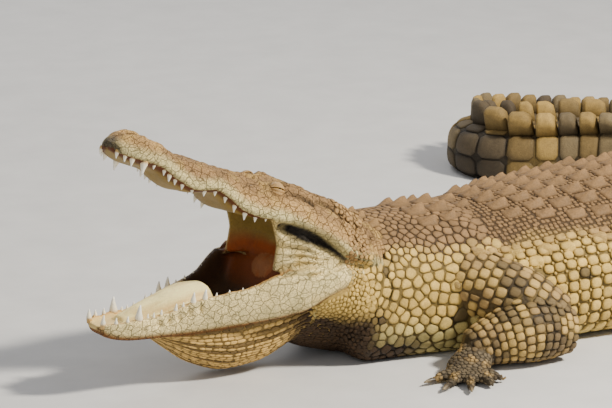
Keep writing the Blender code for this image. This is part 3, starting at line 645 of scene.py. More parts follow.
def gather_forms(body, limbs):
    """The forms of head, mouth, body, legs and feet together."""
    forms = Forms()
    add_loft(forms, head_rings(), HEAD_PART)
    add_loft(forms, jaw_rings(), JAW_PART)
    add_loft(forms, cheek_rings(), CHEEK_PART)
    add_loft(forms, pouch_rings(), POUCH_PART)
    add_loft(forms, tongue_rings(), TONGUE_PART)
    add_loft(forms, valve_rings(), VALVE_PART)
    for sheet in limbs:
        add_loft(forms, sheet.points[:, :-1], LEG_PART)
    points, faces = closed_loft(body.points[:, :-1])
    columns = body.points.shape[1] - 1
    corners = np.minimum(faces, len(points) - 3)
    u = body.along[corners // columns].mean(1)
    v = np.abs(2 * (corners % columns) / columns - 1).mean(1)
    forms.add(points, faces, BODY_PART, np.stack((u, v), -1))
    for name in FOOT_NODES:
        forms.add(*node_triangles(name), FOOT_PART)
    return forms.joined()


def remeshed(points, faces):
    """One closed surface round all the forms, in even quads."""
    thing = make_mesh("skin", points, faces)
    modifier = thing.modifiers.new("one surface", "REMESH")
    modifier.mode = "VOXEL"
    modifier.voxel_size = VOXEL
    graph = bpy.context.evaluated_depsgraph_get()
    mesh = bpy.data.meshes.new_from_object(thing.evaluated_get(graph))
    thing.modifiers.clear()
    old = thing.data
    thing.data = mesh
    bpy.data.meshes.remove(old)
    return thing


def subdivide_front(thing):
    """Halves the skin's squares on the head and the front of the neck."""
    shape = bmesh.new()
    shape.from_mesh(thing.data)
    limit = FINE_UNTIL - BELLY_X
    faces = [face for face in shape.faces if face.calc_center_median().x < limit]
    edges = list({edge for face in faces for edge in face.edges})
    bmesh.ops.subdivide_edges(shape, edges=edges, cuts=1, use_grid_fill=True)
    shape.to_mesh(thing.data)
    shape.free()


def nearest_form(points, tree, parts, places):
    """For each point its part, its place on that part, and the nearest point of the forms."""
    count = len(points)
    part = np.zeros(count, int)
    place = np.zeros((count, 2))
    near = np.zeros((count, 3))
    for i, point in enumerate(points):
        where, _, face, _ = tree.find_nearest(point)
        near[i] = where
        part[i] = parts[face]
        place[i] = places[face]
    return part, place, near


def line_distance(points, line):
    """Distance from each point to a line of short straight runs."""
    best = np.full(len(points), 9.0)
    for start, end in zip(line, line[1:]):
        run = end - start
        t = np.clip((points - start) @ run / (run @ run), 0, 1)
        best = np.minimum(best, np.linalg.norm(points - start - t[:, None] * run, axis=1))
    return best


def gape_line(side):
    """The middle of the deep fold between the rear of the upper lip and the cheek."""
    forward = np.linspace(0.142, 0.0, 12)
    return head_point(forward, side * (0.128 - 0.05 * ramp(forward, 0.10, 0.16)), smooth(GAPE_RISE, forward))


def head_side(forward, share, side):
    """A place on the head between the edge of its table (share 0) and its widest bulge (share 1)."""
    half_width = smooth(HEAD_HALF_WIDTH, forward)
    table = smooth(HEAD_TABLE, forward)
    lip = smooth(LIP, forward)
    depth = smooth(HEAD_TOP, forward) - lip
    across = table + share * (0.55 * (half_width - table) + 0.006)
    return head_point(forward, side * (across + 0.003), lip + depth * (1 - 0.38 * share))


def ear_line(side):
    """The ear slit, from behind the eye back along the skull's table."""
    forward = np.array((0.132, 0.118, 0.102, 0.090))
    return head_side(forward, np.array((0.26, 0.34, 0.46, 0.58)), side)


def groove_line(side):
    """The groove under the boss at the rear of the skull's table."""
    forward = np.array((0.075, 0.055, 0.030, 0.005, -0.015))
    return head_side(forward, np.array((0.30, 0.34, 0.42, 0.55, 0.70)), side)


def table_line(side):
    """The raised edge of the skull's table, which ends in a boss behind."""
    forward = np.array((0.12, 0.08, 0.04, 0.0, -0.02))
    across = side * np.array((0.050, 0.058, 0.066, 0.070, 0.070))
    return head_point(forward, across, smooth(HEAD_TOP, forward))


def nostril_line(side):
    """The slit of a nostril on the snout's end."""
    return head_point(np.array((0.468, 0.452)), side * np.array((0.008, 0.014)), np.array((0.096, 0.100)))


def eye_middle(side):
    return head_point(EYE_FORWARD, side * EYE_SIDE, EYE_RISE)


def sculpt_head(points, normals, part):
    """Moves the head's skin along its normals for ridges, folds, sockets and nostrils."""
    forward, across, up = head_local(points)
    head = (part == HEAD_PART) & (normals[:, 2] > -0.3)
    top = smooth(HEAD_TOP, forward)
    near_top = ramp(up, top - 0.045, top - 0.015) * head
    lift = np.zeros(len(points))
    for side in (-1, 1):
        lift -= 0.0075 * bell(line_distance(points, ear_line(side)), 0.0055) * head
        lift -= 0.0085 * bell(line_distance(points, groove_line(side)), 0.0065) * head
        lift += 0.0050 * bell(line_distance(points, table_line(side)), 0.011) * head
        brow = head_point(np.array((0.185, 0.165, 0.145, 0.125)), side * np.array((0.036, 0.040, 0.043, 0.046)),
                          np.array((0.099, 0.106, 0.109, 0.108)))
        lift += 0.0050 * bell(line_distance(points, brow), 0.008) * head
        away = np.linalg.norm(points - eye_middle(side), axis=1)
        lift += 0.0045 * bell(away - 0.0215, 0.005) * head
        ridge = head_point(np.array((0.25, 0.215, 0.18)), side * np.array((0.020, 0.026, 0.036)),
                           np.array((0.088, 0.092, 0.099)))
        lift += 0.0035 * bell(line_distance(points, ridge), 0.008) * head
        distance = line_distance(points, nostril_line(side))
        lift += 0.003 * bell(distance - 0.011, 0.006) * near_top
        lift -= 0.009 * bell(distance, 0.0045) * near_top
        bulge = head_point(0.06, side * 0.118, 0.060)
        lift += 0.005 * bell(np.linalg.norm(points - bulge, axis=1), 0.035) * head
        for place, length in UPPER_TEETH:
            across_rim = side * float(smooth(HEAD_HALF_WIDTH, place)) * 0.97
            socket = head_point(place, across_rim, float(smooth(LIP, place)) + 0.012)
            size = 0.10 * length * bell(np.linalg.norm(points - socket, axis=1), 0.4 * length + 0.003)
            lift += size * head
    lift -= 0.004 * bell(across, 0.022) * bell(forward - 0.15, 0.025) * near_top
    lift -= 0.003 * bell(across, 0.030) * bell(forward - 0.03, 0.035) * near_top
    rough = noise(points, 0.017, 5) + 0.5 * noise(points, 0.008, 6)
    lift += (0.0011 + 0.0010 * near_top) * rough * head
    points = points + lift[:, None] * normals
    for side in (-1, 1):
        points = open_socket(points, side)
        points = open_gape(points, side)
    return points


def open_socket(points, side):
    """Sinks the skin behind the eyelids."""
    eye = eye_middle(side)
    aim = points - eye
    far = np.linalg.norm(aim, axis=1)
    facing = unit(aim) @ eye_axes(side)[0]
    share = ramp(facing, 0.30, 0.55) * (far < 0.035)
    return eye + aim * (1 + share * (SOCKET_RADIUS / np.maximum(far, 1e-6) - 1))[:, None]


def open_gape(points, side):
    """Draws the skin inward along the fold between lip and cheek, deepest at its middle."""
    line = gape_line(side)
    near = line_distance(points, line)
    forward = head_local(points)[0]
    middle = ramp(forward, -0.01, 0.05) * (1 - ramp(forward, 0.12, 0.155))
    outer = ramp(side * points[:, 1], 0.075, 0.095)
    share = bell(near, 0.0070 + 0.0055 * middle) * (0.25 + 0.75 * middle) * outer
    return points - np.stack((0 * share, side * 0.026 * share, 0 * share), -1)


def cheek_folds(points, part):
    """Waves that run out from the corner of the gape over the cheek, -1 to 1, and how strong they are."""
    x = points[:, 0] + BELLY_X
    y = np.abs(points[:, 1])
    z = points[:, 2]
    turn = np.arctan2(z - 0.215, -x)
    flap = ramp(y, 0.085, 0.10) * ramp(-x, -0.01, 0.03) * (1 - ramp(-x, 0.11, 0.14))
    flap = flap * ramp(z, 0.175, 0.200) * (part != HEAD_PART) * ramp(np.hypot(x, z - 0.215), 0.015, 0.05)
    return np.sin(turn * 34 + 2.5 * noise(points, 0.03, 8)), flap


def neck_folds(points, part):
    """Rings of folds behind the head, -1 to 1, and how strong they are."""
    x = points[:, 0] + BELLY_X
    z = points[:, 2]
    reach = np.hypot(x + 0.075, 0.9 * (z - 0.215)) + 0.004 * noise(points, 0.05, 9)
    rings = ramp(reach, 0.085, 0.105) * (1 - ramp(reach, 0.17, 0.22)) * ramp(x, -0.02, 0.02)
    return np.sin(2 * math.pi * reach / 0.011), rings * (part != POUCH_PART)


def sculpt_jaw(points, normals, part):
    """Sockets and pits along the lower jaw, folds on the cheeks and rings of folds behind them."""
    x = points[:, 0] + BELLY_X
    y = np.abs(points[:, 1])
    z = points[:, 2]
    lift = np.zeros(len(points))
    jaw = part == JAW_PART
    for place, length in LOWER_TEETH:
        rim_z = float(smooth(JAW_TOP, -place))
        rim_y = float(smooth(JAW_HALF_WIDTH, -place)) * 0.93
        away = np.sqrt((x + place) ** 2 + (y - rim_y) ** 2 + (z - rim_z) ** 2)
        lift += 0.11 * length * bell(away, 0.35 * length + 0.004) * jaw
    for place in (0.352, 0.333, 0.314, 0.294, 0.274):
        rim_z = float(smooth(JAW_TOP, -place)) - 0.013
        rim_y = float(smooth(JAW_HALF_WIDTH, -place))
        away = np.sqrt((x + place) ** 2 + (y - rim_y) ** 2 + (0.5 * (z - rim_z)) ** 2)
        lift -= 0.0055 * bell(away, 0.0045) * jaw
    wave, strength = cheek_folds(points, part)
    lift += 0.0018 * wave * strength
    crease = np.array(((-0.125, 0.0, 0.204), (-0.07, 0.0, 0.199), (0.0, 0.0, 0.203)))
    flat = np.stack((x, 0 * x, z), -1)
    lift -= 0.006 * bell(line_distance(flat, crease), 0.0035) * ramp(y, 0.09, 0.11)
    wave, strength = neck_folds(points, part)
    lift += 0.0017 * wave * strength
    return points + lift[:, None] * normals


def make_skin(body, limbs):
    """The skin with, for each point, its part and its place."""
    points, faces, parts, places = gather_forms(body, limbs)
    tree = BVHTree.FromPolygons(points.tolist(), faces.tolist())
    skin = remeshed(points, faces)
    points, edges = mesh_arrays(skin)
    set_points(skin, relax(points, edges, 4, 0.5))
    subdivide_front(skin)
    points, edges = mesh_arrays(skin)
    part, place, near = nearest_form(points, tree, parts, places)
    front = np.isin(part, (HEAD_PART, JAW_PART, CHEEK_PART, POUCH_PART, TONGUE_PART, VALVE_PART))
    points = points + (0.85 * front)[:, None] * (near - points)
    points = relax(points, edges, 2, np.where(points[:, 0] + BELLY_X < FINE_UNTIL, 0.4, 0.3))
    set_points(skin, points)
    points = sculpt_jaw(points, mesh_normals(skin), part)
    set_points(skin, points)
    points = sculpt_head(points, mesh_normals(skin), part)
    points = relax(points, edges, 1, 0.25)
    points[:, 2] = np.maximum(points[:, 2], FLOOR_CLEARANCE)
    set_points(skin, points)
    return skin, part, place


# ---- colours --------

TAN = colour(176, 140, 88)
TAUPE = colour(138, 108, 72)
STRAW = colour(212, 178, 96)
CREAM = colour(212, 194, 124)
CHARCOAL = colour(70, 60, 48)
# Dark brown of some throat rows, also used as painted shade under the jaw.
THROAT_BROWN_AND_SHADE = colour(60, 42, 22)
JAW_CREAM = colour(234, 212, 150)
LIP_CREAM = colour(216, 200, 142)
# Brown of the lower jaw's lower edge, also used as painted shade under it.
RIM_BROWN_AND_SHADE = colour(132, 86, 36)
PALATE = colour(140, 116, 58)
GUM = colour(92, 52, 30)
MOUTH_TAN = colour(192, 148, 84)
THROAT_RED = colour(148, 72, 26)
VALVE = colour(150, 98, 62)
# Painted shade deep inside the mouth.
MOUTH_SHADE = colour(66, 48, 34)
TONGUE_CREAM = colour(255, 238, 166)
POUCH_TAN = colour(222, 182, 104)
OLIVE = colour(168, 138, 86)
HAND_GREY = colour(100, 88, 68)
OCHRE = colour(176, 144, 76)
TAIL_GREY = colour(122, 106, 76)
# Painted shade for the snout's front end.
SNOUT_TIP_SHADE = colour(62, 50, 40)


def whorl_starts():
    """Where each ring of tail scutes begins; the rings shorten towards the tip."""
    starts = [TAIL_ROOT]
    while starts[-1] < TAIL_END - WHORL_LAST:
        share = (starts[-1] - TAIL_ROOT) / (TAIL_END - TAIL_ROOT)
        starts.append(starts[-1] + WHORL_FIRST + (WHORL_LAST - WHORL_FIRST) * share)
    return np.array(starts)


WHORLS = whorl_starts()
WHORL_TINTS = (OCHRE, CHARCOAL, CHARCOAL, TAIL_GREY, OCHRE, TAIL_GREY, OCHRE)


def tail_colour(points, distance):
    """Bands of charcoal, grey and ochre, one tint a whorl, with blotches, and painted shade low down by the floor."""
    index = np.clip(np.searchsorted(WHORLS, distance, side="right") - 1, 0, len(WHORLS) - 1)
    result = np.array(WHORL_TINTS)[index % len(WHORL_TINTS)]
    result = blend(result, TAIL_GREY, 0.25)
    result = blend(result, CHARCOAL, 0.6 * ramp(noise(points, 0.05, 21), 0.10, 0.45))
    result = blend(result, OCHRE, 0.45 * ramp(noise(points, 0.04, 22), 0.25, 0.5))
    # Painted shade: darker close to the floor, where the tail lies on it.
    return blend(result, 0.45 * CHARCOAL, 0.8 * (1 - ramp(points[:, 2], 0.012, 0.055)))


def hide_colour(points, distance, share):
    """The colour of the scales on neck, trunk and tail; share runs from 0 on the back to 1 under the belly."""
    wander = 0.05 * noise(points, 0.07, 11)
    result = blend(TAUPE, STRAW, ramp(share + wander, 0.27, 0.37))
    result = blend(result, CREAM, ramp(share + wander, 0.60, 0.75))
    near_head = (1 - ramp(distance + wander, 0.05, 0.16)) * (1 - ramp(share + wander, 0.30, 0.42))
    result = blend(result, TAN, 0.8 * near_head)
    patch = noise(points, 0.045, 12) + 0.4 * noise(points, 0.018, 13)
    lower = 0.30 * bell(distance - 0.30, 0.10) * bell(share - 0.62, 0.16)
    result = blend(result, CHARCOAL, 0.8 * ramp(patch + lower, 0.52, 0.72) * ramp(share, 0.30, 0.42))
    # Painted shade under the jaw and low on the throat, deepest close to the head.
    throat = (1 - ramp(distance, 0.12, 0.24)) * (1 - ramp(points[:, 2], 0.030, 0.065))
    throat = np.maximum(throat, (1 - ramp(distance, 0.05, 0.11)) * (1 - ramp(points[:, 2], 0.080, 0.125)))
    result = blend(result, THROAT_BROWN_AND_SHADE, throat)
    return blend(result, tail_colour(points, distance), ramp(distance, 1.12, 1.30))


def limb_colour(points):
    """Olive and straw with charcoal patches, for the legs."""
    patch = noise(points, 0.035, 31) + 0.5 * noise(points, 0.014, 32)
    result = blend(OLIVE, STRAW, 0.5 * ramp(noise(points, 0.03, 33), -0.2, 0.4))
    return blend(result, CHARCOAL, 0.75 * ramp(patch, 0.10, 0.40))


def foot_colour(points):
    """Grey and olive, darker in spots, for hands and feet."""
    result = blend(HAND_GREY, OLIVE, ramp(noise(points, 0.02, 34), 0.1, 0.6))
    return blend(result, CHARCOAL, 0.6 * ramp(noise(points, 0.012, 35), 0.0, 0.4))


def head_colour(points, normals):
    """The colours of the skull's skin and palate, and which points are palate."""
    forward, across, up = head_local(points)
    half_width = smooth(HEAD_HALF_WIDTH, forward)
    lip = smooth(LIP, forward)
    above = ramp(up - 0.5 * (lip + smooth(HEAD_TOP, forward)), -0.01, 0.025) * (1 - ramp(forward, 0.30, 0.42))
    result = blend(1.12 * TAN, TAUPE, 0.8 * ramp(noise(points, 0.04, 41) + 1.3 * above, -0.1, 0.8))
    result = blend(result, STRAW, 0.25 * ramp(noise(points, 0.02, 42), 0.1, 0.6))
    result = blend(LIP_CREAM, result, ramp(up - lip, 0.010, 0.030))
    # Painted shade on the snout's front end.
    result = blend(result, SNOUT_TIP_SHADE, 0.85 * ramp(forward + 0.01 * noise(points, 0.02, 43), 0.483, 0.497))
    under = (-normals @ np.array((math.sin(HEAD_PITCH), 0, math.cos(HEAD_PITCH)))) > 0.25
    inside = under & (np.abs(across) < 0.95 * half_width - 0.035 * (1 - ramp(forward, 0.13, 0.17)))
    rim = ramp(np.abs(across), half_width - 0.026, half_width - 0.010) * ramp(forward, 0.15, 0.18)
    lining = blend(PALATE, GUM, rim)
    lining = blend(THROAT_RED, lining, ramp(forward, 0.02, 0.10))
    return np.where(inside[:, None], lining, result), inside


def jaw_colour(points, normals):
    """The colours of the lower jaw's skin and lining, and how much of each point is lining."""
    x = points[:, 0] + BELLY_X
    across = np.abs(points[:, 1])
    half_width = smooth(JAW_HALF_WIDTH, x)
    bottom = smooth(JAW_BOTTOM, x)
    result = blend(1.12 * JAW_CREAM, STRAW, 0.5 * ramp(noise(points, 0.03, 51), 0.0, 0.6) * ramp(x, -0.2, -0.05))
    result = blend(result, LIP_CREAM, 0.5 * ramp(noise(points, 0.02, 52), 0.0, 0.5))
    # A brown band along the jaw's lower edge, partly painted shade, then painted shade on the faces that look down.
    result = blend(RIM_BROWN_AND_SHADE, result, ramp(points[:, 2] - bottom, 0.004, 0.016))
    result = blend(0.5 * RIM_BROWN_AND_SHADE, result, ramp(normals[:, 2], -0.97, -0.75))
    outward = normals[:, 1] * np.sign(points[:, 1])
    share = 1 - ramp(outward, 0.15, 0.50)
    share = share * ramp(normals[:, 2], -0.5, -0.2) * (1 - ramp(across, 0.90 * half_width, 0.95 * half_width))
    share = share * (1 - ramp(x, -0.11, -0.09) * ramp(across, 0.10, 0.11))
    rim = ramp(across, 0.72 * half_width, 0.80 * half_width) * ramp(normals[:, 2], 0.3, 0.6)
    lining = blend(TONGUE_CREAM, MOUTH_TAN, 0.6)
    # Painted shade on the floor of the mouth behind the tongue.
    lining = blend(lining, MOUTH_SHADE, ramp(x, -0.245, -0.215))
    lining = blend(lining, THROAT_RED, 0.5 * ramp(x, -0.13, -0.10))
    lining = blend(lining, MOUTH_TAN, 0.85 * rim * (1 - ramp(x, -0.26, -0.22) * (points[:, 1] > 0)))
    return blend(result, lining, share), share


def valve_rings():
    """The round flap that closes the throat at the back of the mouth."""
    polar = np.linspace(0.05, math.pi - 0.05, 14)[:, None]
    turn = np.linspace(0, 2 * math.pi, 28, endpoint=False)[None, :]
    x = VALVE_PLACE[0] - VALVE_SIZE[0] * np.sin(polar) * np.cos(turn)
    y = VALVE_SIZE[1] * np.cos(polar)
    z = VALVE_PLACE[1] + VALVE_SIZE[2] * np.sin(polar) * np.sin(turn)
    return np.stack(np.broadcast_arrays(x - BELLY_X, y, z), -1)


def cheek_colour(points, normals):
    """The colours of the cheeks outside and inside, and how much of each point is inside."""
    across = np.abs(points[:, 1])
    height = points[:, 2] + 0.012 * noise(points, 0.03, 56)
    inner = blend(THROAT_RED, PALATE, ramp(height, 0.212, 0.250))
    # Painted shade low on the inside of the cheeks.
    inner = blend(inner, MOUTH_SHADE, 1 - ramp(height, 0.180, 0.212))
    outer = blend(JAW_CREAM, STRAW, 0.6 * ramp(noise(points, 0.025, 53), -0.2, 0.5))
    outward = normals[:, 1] * np.sign(points[:, 1])
    share = ramp(outward, -0.35, 0.15) * ramp(across, 0.070, 0.085)
    return blend(inner, outer, share), 1 - share


def skin_colours(skin, part, place):
    """Colour, wetness and crackle of each point of the skin."""
    points, _ = mesh_arrays(skin)
    normals = mesh_normals(skin)
    gaps = 0.26
    beside_head = 1 - ramp(points[:, 0] + BELLY_X, 0.03, 0.09)
    result = hide_colour(points, place[:, 0], place[:, 1]) * (gaps + 0.5 * beside_head)[:, None]
    crackle = np.full(len(points), 0.25)
    wet = np.zeros(len(points))
    limb = part == LEG_PART
    result[limb] = limb_colour(points[limb]) * gaps
    foot = part == FOOT_PART
    result[foot] = foot_colour(points[foot]) * 0.5
    for which, painter in ((HEAD_PART, head_colour), (JAW_PART, jaw_colour), (CHEEK_PART, cheek_colour)):
        chosen = part == which
        result[chosen], wet[chosen] = painter(points[chosen], normals[chosen])
        crackle[chosen] = 1.0 - wet[chosen]
    chosen = part == TONGUE_PART
    folds = noise(points[chosen] * np.array((0.35, 1.0, 1.0)), 0.010, 54)
    result[chosen] = blend(TONGUE_CREAM, MOUTH_TAN, 0.35 * ramp(folds, 0.0, 0.5))
    # Painted shade on the sides of the tongue, where they face sideways.
    aside = ramp(np.abs(normals[chosen, 1]), 0.35, 0.75)
    result[chosen] = blend(result[chosen], MOUTH_TAN, 0.5 * aside)
    wet[chosen] = 0.7
    crackle[chosen] = 0.0
    chosen = part == VALVE_PART
    result[chosen] = blend(VALVE, THROAT_RED, 0.5 * ramp(noise(points[chosen], 0.014, 55), 0.1, 0.7))
    wet[chosen] = 0.8
    crackle[chosen] = 0.0
    chosen = part == POUCH_PART
    result[chosen] = 0.35 * POUCH_TAN
    # Painted shade in the troughs of the cheek and neck folds.
    for wave, strength in (cheek_folds(points, part), neck_folds(points, part)):
        result = result * (1 - 0.42 * strength * ramp(-wave, 0.0, 1.0))[:, None]
    for side in (-1, 1):
        # Painted shadow in the deep fold of the gape, between lip and cheek.
        shut = np.stack((points[:, 0], side * 0.12 + 0 * points[:, 1], points[:, 2]), -1)
        line = gape_line(side) * np.array((1.0, 0.0, 1.0)) + np.array((0.0, side * 0.12, 0.0))
        middle = bell(head_local(points)[0] - 0.090, 0.042)
        deep = bell(line_distance(shut, line), 0.0038 + 0.0088 * middle) * ramp(side * points[:, 1], 0.07, 0.09)
        deep = deep * (1 - ramp(side * points[:, 1], 0.113, 0.128))
        result = blend(result, 0.30 * CHARCOAL, np.clip(1.6 * deep, 0, 1))
        # Painted shade in the ear slit and in the groove under the skull's boss.
        for line in (ear_line(side), groove_line(side)):
            deep = bell(line_distance(points, line), 0.0055) * (part == HEAD_PART)
            result = blend(result, 0.35 * CHARCOAL, 0.85 * np.clip(1.3 * deep, 0, 1))
        # Painted shade in the crease round the eyelids.
        away = np.linalg.norm(points - eye_middle(side), axis=1)
        result = blend(result, 0.5 * CHARCOAL, 0.75 * bell(away - LID_RADIUS - 0.0005, 0.0022))
        # Painted shade in the nostril slit.
        result = blend(result, 0.3 * CHARCOAL, bell(line_distance(points, nostril_line(side)), 0.005))
    paint_points(skin, result)
    mark_points(skin, wet, "Wet")
    mark_points(skin, crackle, "Crackle")


# ---- scales --------

class Template:
    """One scale at unit size: x along the body, y across it, z up, and a tone for each point that paints shade on its
    rim and a highlight on its top.
    """

    def __init__(self, points, faces, tone):
        self.points = points
        self.faces = faces
        self.tone = tone


def round_template(spokes, squareness, profile):
    """A dome: its outline goes from round (2) to square (high), its profile is (reach, height, tone) from the rim."""
    angle = 2 * math.pi * (np.arange(spokes) + 0.5) / spokes
    cos, sin = np.cos(angle), np.sin(angle)
    size = (np.abs(cos) ** squareness + np.abs(sin) ** squareness) ** (-1 / squareness)
    rows = [np.stack((reach * size * cos, reach * size * sin, np.full(spokes, up)), -1) for reach, up, _ in profile]
    points = np.concatenate(rows + [np.array(((0, 0, profile[-1][1] * 1.02), (0, 0, profile[0][1])))])
    tone = np.concatenate([np.full(spokes, tone) for _, _, tone in profile] + [[profile[-1][2], profile[0][2]]])
    j = np.arange(spokes)
    k = (j + 1) % spokes
    base = (len(profile) - 1) * spokes
    top = np.stack((base + j, base + k, np.full(spokes, base + spokes)), -1)
    under = np.stack((k, j, np.full(spokes, base + spokes + 1)), -1)
    faces = np.concatenate((split_quads(ring_faces(len(profile), spokes)), top, under))
    return Template(points, faces, tone)


# Profiles as (reach, height, tone) from the rim; the tone is painted shade low on the rim and a painted highlight on
# the crown.
DOME = ((1.0, -0.7, 0.25), (0.99, 0.25, 0.42), (0.88, 0.72, 0.82), (0.62, 0.95, 1.0), (0.30, 1.0, 1.06))
LOW_DOME = ((1.0, -0.8, 0.25), (0.98, 0.30, 0.45), (0.80, 0.85, 0.9), (0.45, 1.0, 1.05))
GRANULE_DOME = ((1.0, -0.8, 0.25), (0.97, 0.40, 0.55), (0.66, 1.0, 1.0))


def ridged_template(count_x, count_y, squareness, height):
    """A scute as a closed slab with a ridge; height(x, y) gives its top."""
    xs, ys = np.meshgrid(np.linspace(-1, 1, count_x), np.linspace(-1, 1, count_y), indexing="ij")
    reach = np.maximum(np.abs(xs), np.abs(ys))
    length = np.hypot(xs, ys)
    cos = np.where(length > 0, xs / np.maximum(length, 1e-9), 1.0)
    sin = np.where(length > 0, ys / np.maximum(length, 1e-9), 0.0)
    size = (np.abs(cos) ** squareness + np.abs(sin) ** squareness) ** (-1 / squareness)
    x = reach * size * cos
    y = reach * size * sin
    z = height(x, y)
    z = np.where(reach > 0.999, -0.5, z)
    points = np.stack((x, y, z), -1).reshape(-1, 3)
    # Painted shade towards the rim and a painted highlight where the keel or flap stands high.
    tone = np.where(reach > 0.999, 0.3, np.where(reach > 0.75, 0.72, 0.88)) + 0.32 * np.clip(z - 0.35, 0, 1)
    faces = split_quads(ring_faces(count_x, count_y, closed=False))[:, ::-1]
    rim = np.concatenate((np.arange(count_y), np.arange(2, count_x) * count_y - 1,
                          (count_x * count_y - 1) - np.arange(count_y),
                          np.arange(count_x - 2, 0, -1) * count_y))
    under = np.stack((np.roll(rim, -1), rim, np.full(len(rim), len(points))), -1)[:, ::-1]
    points = np.concatenate((points, ((0.0, 0.0, -0.5),)))
    return Template(points, np.concatenate((faces, under)), np.concatenate((tone.ravel(), (0.3,))))


def keel_height(x, y):
    """A low scute with a lengthwise keel that is highest behind."""
    rise = ramp(x, -0.9, 0.45) * (1 - 0.85 * ramp(x, 0.60, 0.97))
    keel = np.exp(-(np.abs(y) / 0.38) ** 1.6) * rise
    return 0.26 + 0.74 * keel - 0.10 * np.maximum(np.abs(x), np.abs(y)) ** 4


def flap_height(x, y):
    """An upright crest scute, thin, rounded above and leaning back."""
    rise = 0.70 + 0.30 * ramp(x, -1.1, -0.2) - 0.22 * ramp(x, 0.6, 1.0)
    return rise * np.maximum(1 - np.abs(y) ** 4, 0.0) ** 0.7


SCALE_PATCH = 0.003


def lay_scales(sheet, template, cells, lean=0.0):
    """World points of every scale. A cell is (u, v, half u, half v in metres, height, turn, offset)."""
    u, v, half_u, half_v, height, turn, offset = (column[:, None] for column in cells.T)
    x, y, z = template.points.T[:, None, :]
    along = x * np.cos(turn) - y * np.sin(turn)
    across = x * np.sin(turn) + y * np.cos(turn)
    places_u = u + half_u * (along + lean * np.maximum(z, 0))
    share = 2 / sheet.girth_at(u)
    places_v = v + half_v * across * share
    raised = np.where(z < 0, z * 0.004, z * height)
    return sheet.at(places_u, places_v, raised + offset)


class Coat:
    """Scales of one piece, gathered and then joined into one mesh."""

    def __init__(self, name):
        self.name = name
        self.points = []
        self.faces = []
        self.colours = []
        self.maps = []
        self.count = 0

    def add(self, template, points, tints, roots):
        """Adds scales: (scales, points, 3) places, a tint each, and a root each on the map."""
        number, size = points.shape[:2]
        flat = points.reshape(-1, 3).copy()
        flat[:, 2] = np.maximum(flat[:, 2], SCALE_CLEARANCE)
        faces = template.faces[None] + size * np.arange(number)[:, None, None] + self.count
        shade = template.tone[None, :, None] * tints[:, None, :]
        patch = roots[:, None, :] + 0.5 * SCALE_PATCH * template.points[None, :, :2]
        self.points.append(flat)
        self.faces.append(faces.reshape(-1, 3))
        self.colours.append(shade.reshape(-1, 3))
        self.maps.append(patch.reshape(-1, 2))
        self.count += number * size

    def lay(self, sheet, template, cells, chance, spread, lean=0.0, shade=1.0):
        """Adds scales in the hide's colours, laid on the body's sheet."""
        points = sheet.at(cells[:, 0], cells[:, 1])
        tints = tinted(hide_colour(points, cells[:, 0], np.abs(cells[:, 1])), chance, spread)
        self.add(template, lay_scales(sheet, template, cells, lean), shade * tints, body_roots(cells))

    def made(self, material):
        faces = np.concatenate(self.faces)
        colours = np.clip(np.concatenate(self.colours), 0, 1)
        thing = make_piece(self.name, np.concatenate(self.points), faces, colours, material)
        layer = thing.data.uv_layers.new(name="OFBake")
        places = np.clip(np.concatenate(self.maps), 0.001, 0.999)
        layer.data.foreach_set("uv", np.ascontiguousarray(places[faces.ravel()], np.float32).ravel())


def above_skin(points, tree):
    """How far each point lies outside the skin; negative inside."""
    result = np.zeros(len(points))
    for i, point in enumerate(points):
        where, normal, _, _ = tree.find_nearest(point)
        result[i] = (Vector(point) - where).dot(normal)
    return result


def settle(sheet, cells, tree, deepest=0.0035):
    """Drops the cells whose root lies buried, and sets the others down on the skin."""
    roots = sheet.at(cells[:, 0], cells[:, 1])
    height = above_skin(roots, tree)
    kept = height > -deepest
    cells = cells[kept].copy()
    cells[:, 6] -= np.clip(height[kept], -deepest, deepest)
    return cells


def grid_cells(sheet, start, end, pitch, low, high, column, height, chance, fill=0.90, brick=0.5, jitter=0.08):
    """Rows of cells round a sheet on both sides, between two shares of the girth; pitch and column are functions."""
    cells = []
    u = start
    row = 0
    while u < end:
        step = pitch(u)
        half_girth = sheet.girth_at(u) / 2
        for side in (-1, 1):
            v = low * half_girth + (brick * column(u, low) if row % 2 else 0.0) * (low > 0)
            while v < high * half_girth:
                wide = column(u, v / half_girth)
                middle = (v + wide / 2) / half_girth
                shift = chance.uniform(-jitter, jitter, 2) * (step, wide)
                size = chance.uniform(0.90, 1.04) * fill / 2
                place = (u + step / 2 + shift[0], side * (middle + shift[1] / half_girth))
                rise = height(u, middle) * chance.uniform(0.85, 1.1)
                cells.append((*place, step * size, wide * size, rise, chance.uniform(-0.12, 0.12), 0.0))
                v += wide
        u += step
        row += 1
    return np.array(cells)


def body_roots(cells):
    """Places on the body's map: along by distance, across by share."""
    return np.stack(((cells[:, 0] + 0.05) / 3.05, 0.5 + 0.48 * cells[:, 1]), -1)


def tinted(colours, chance, spread):
    return colours * chance.uniform(1 - spread, 1 + spread, (len(colours), 1))


# ---- materials --------

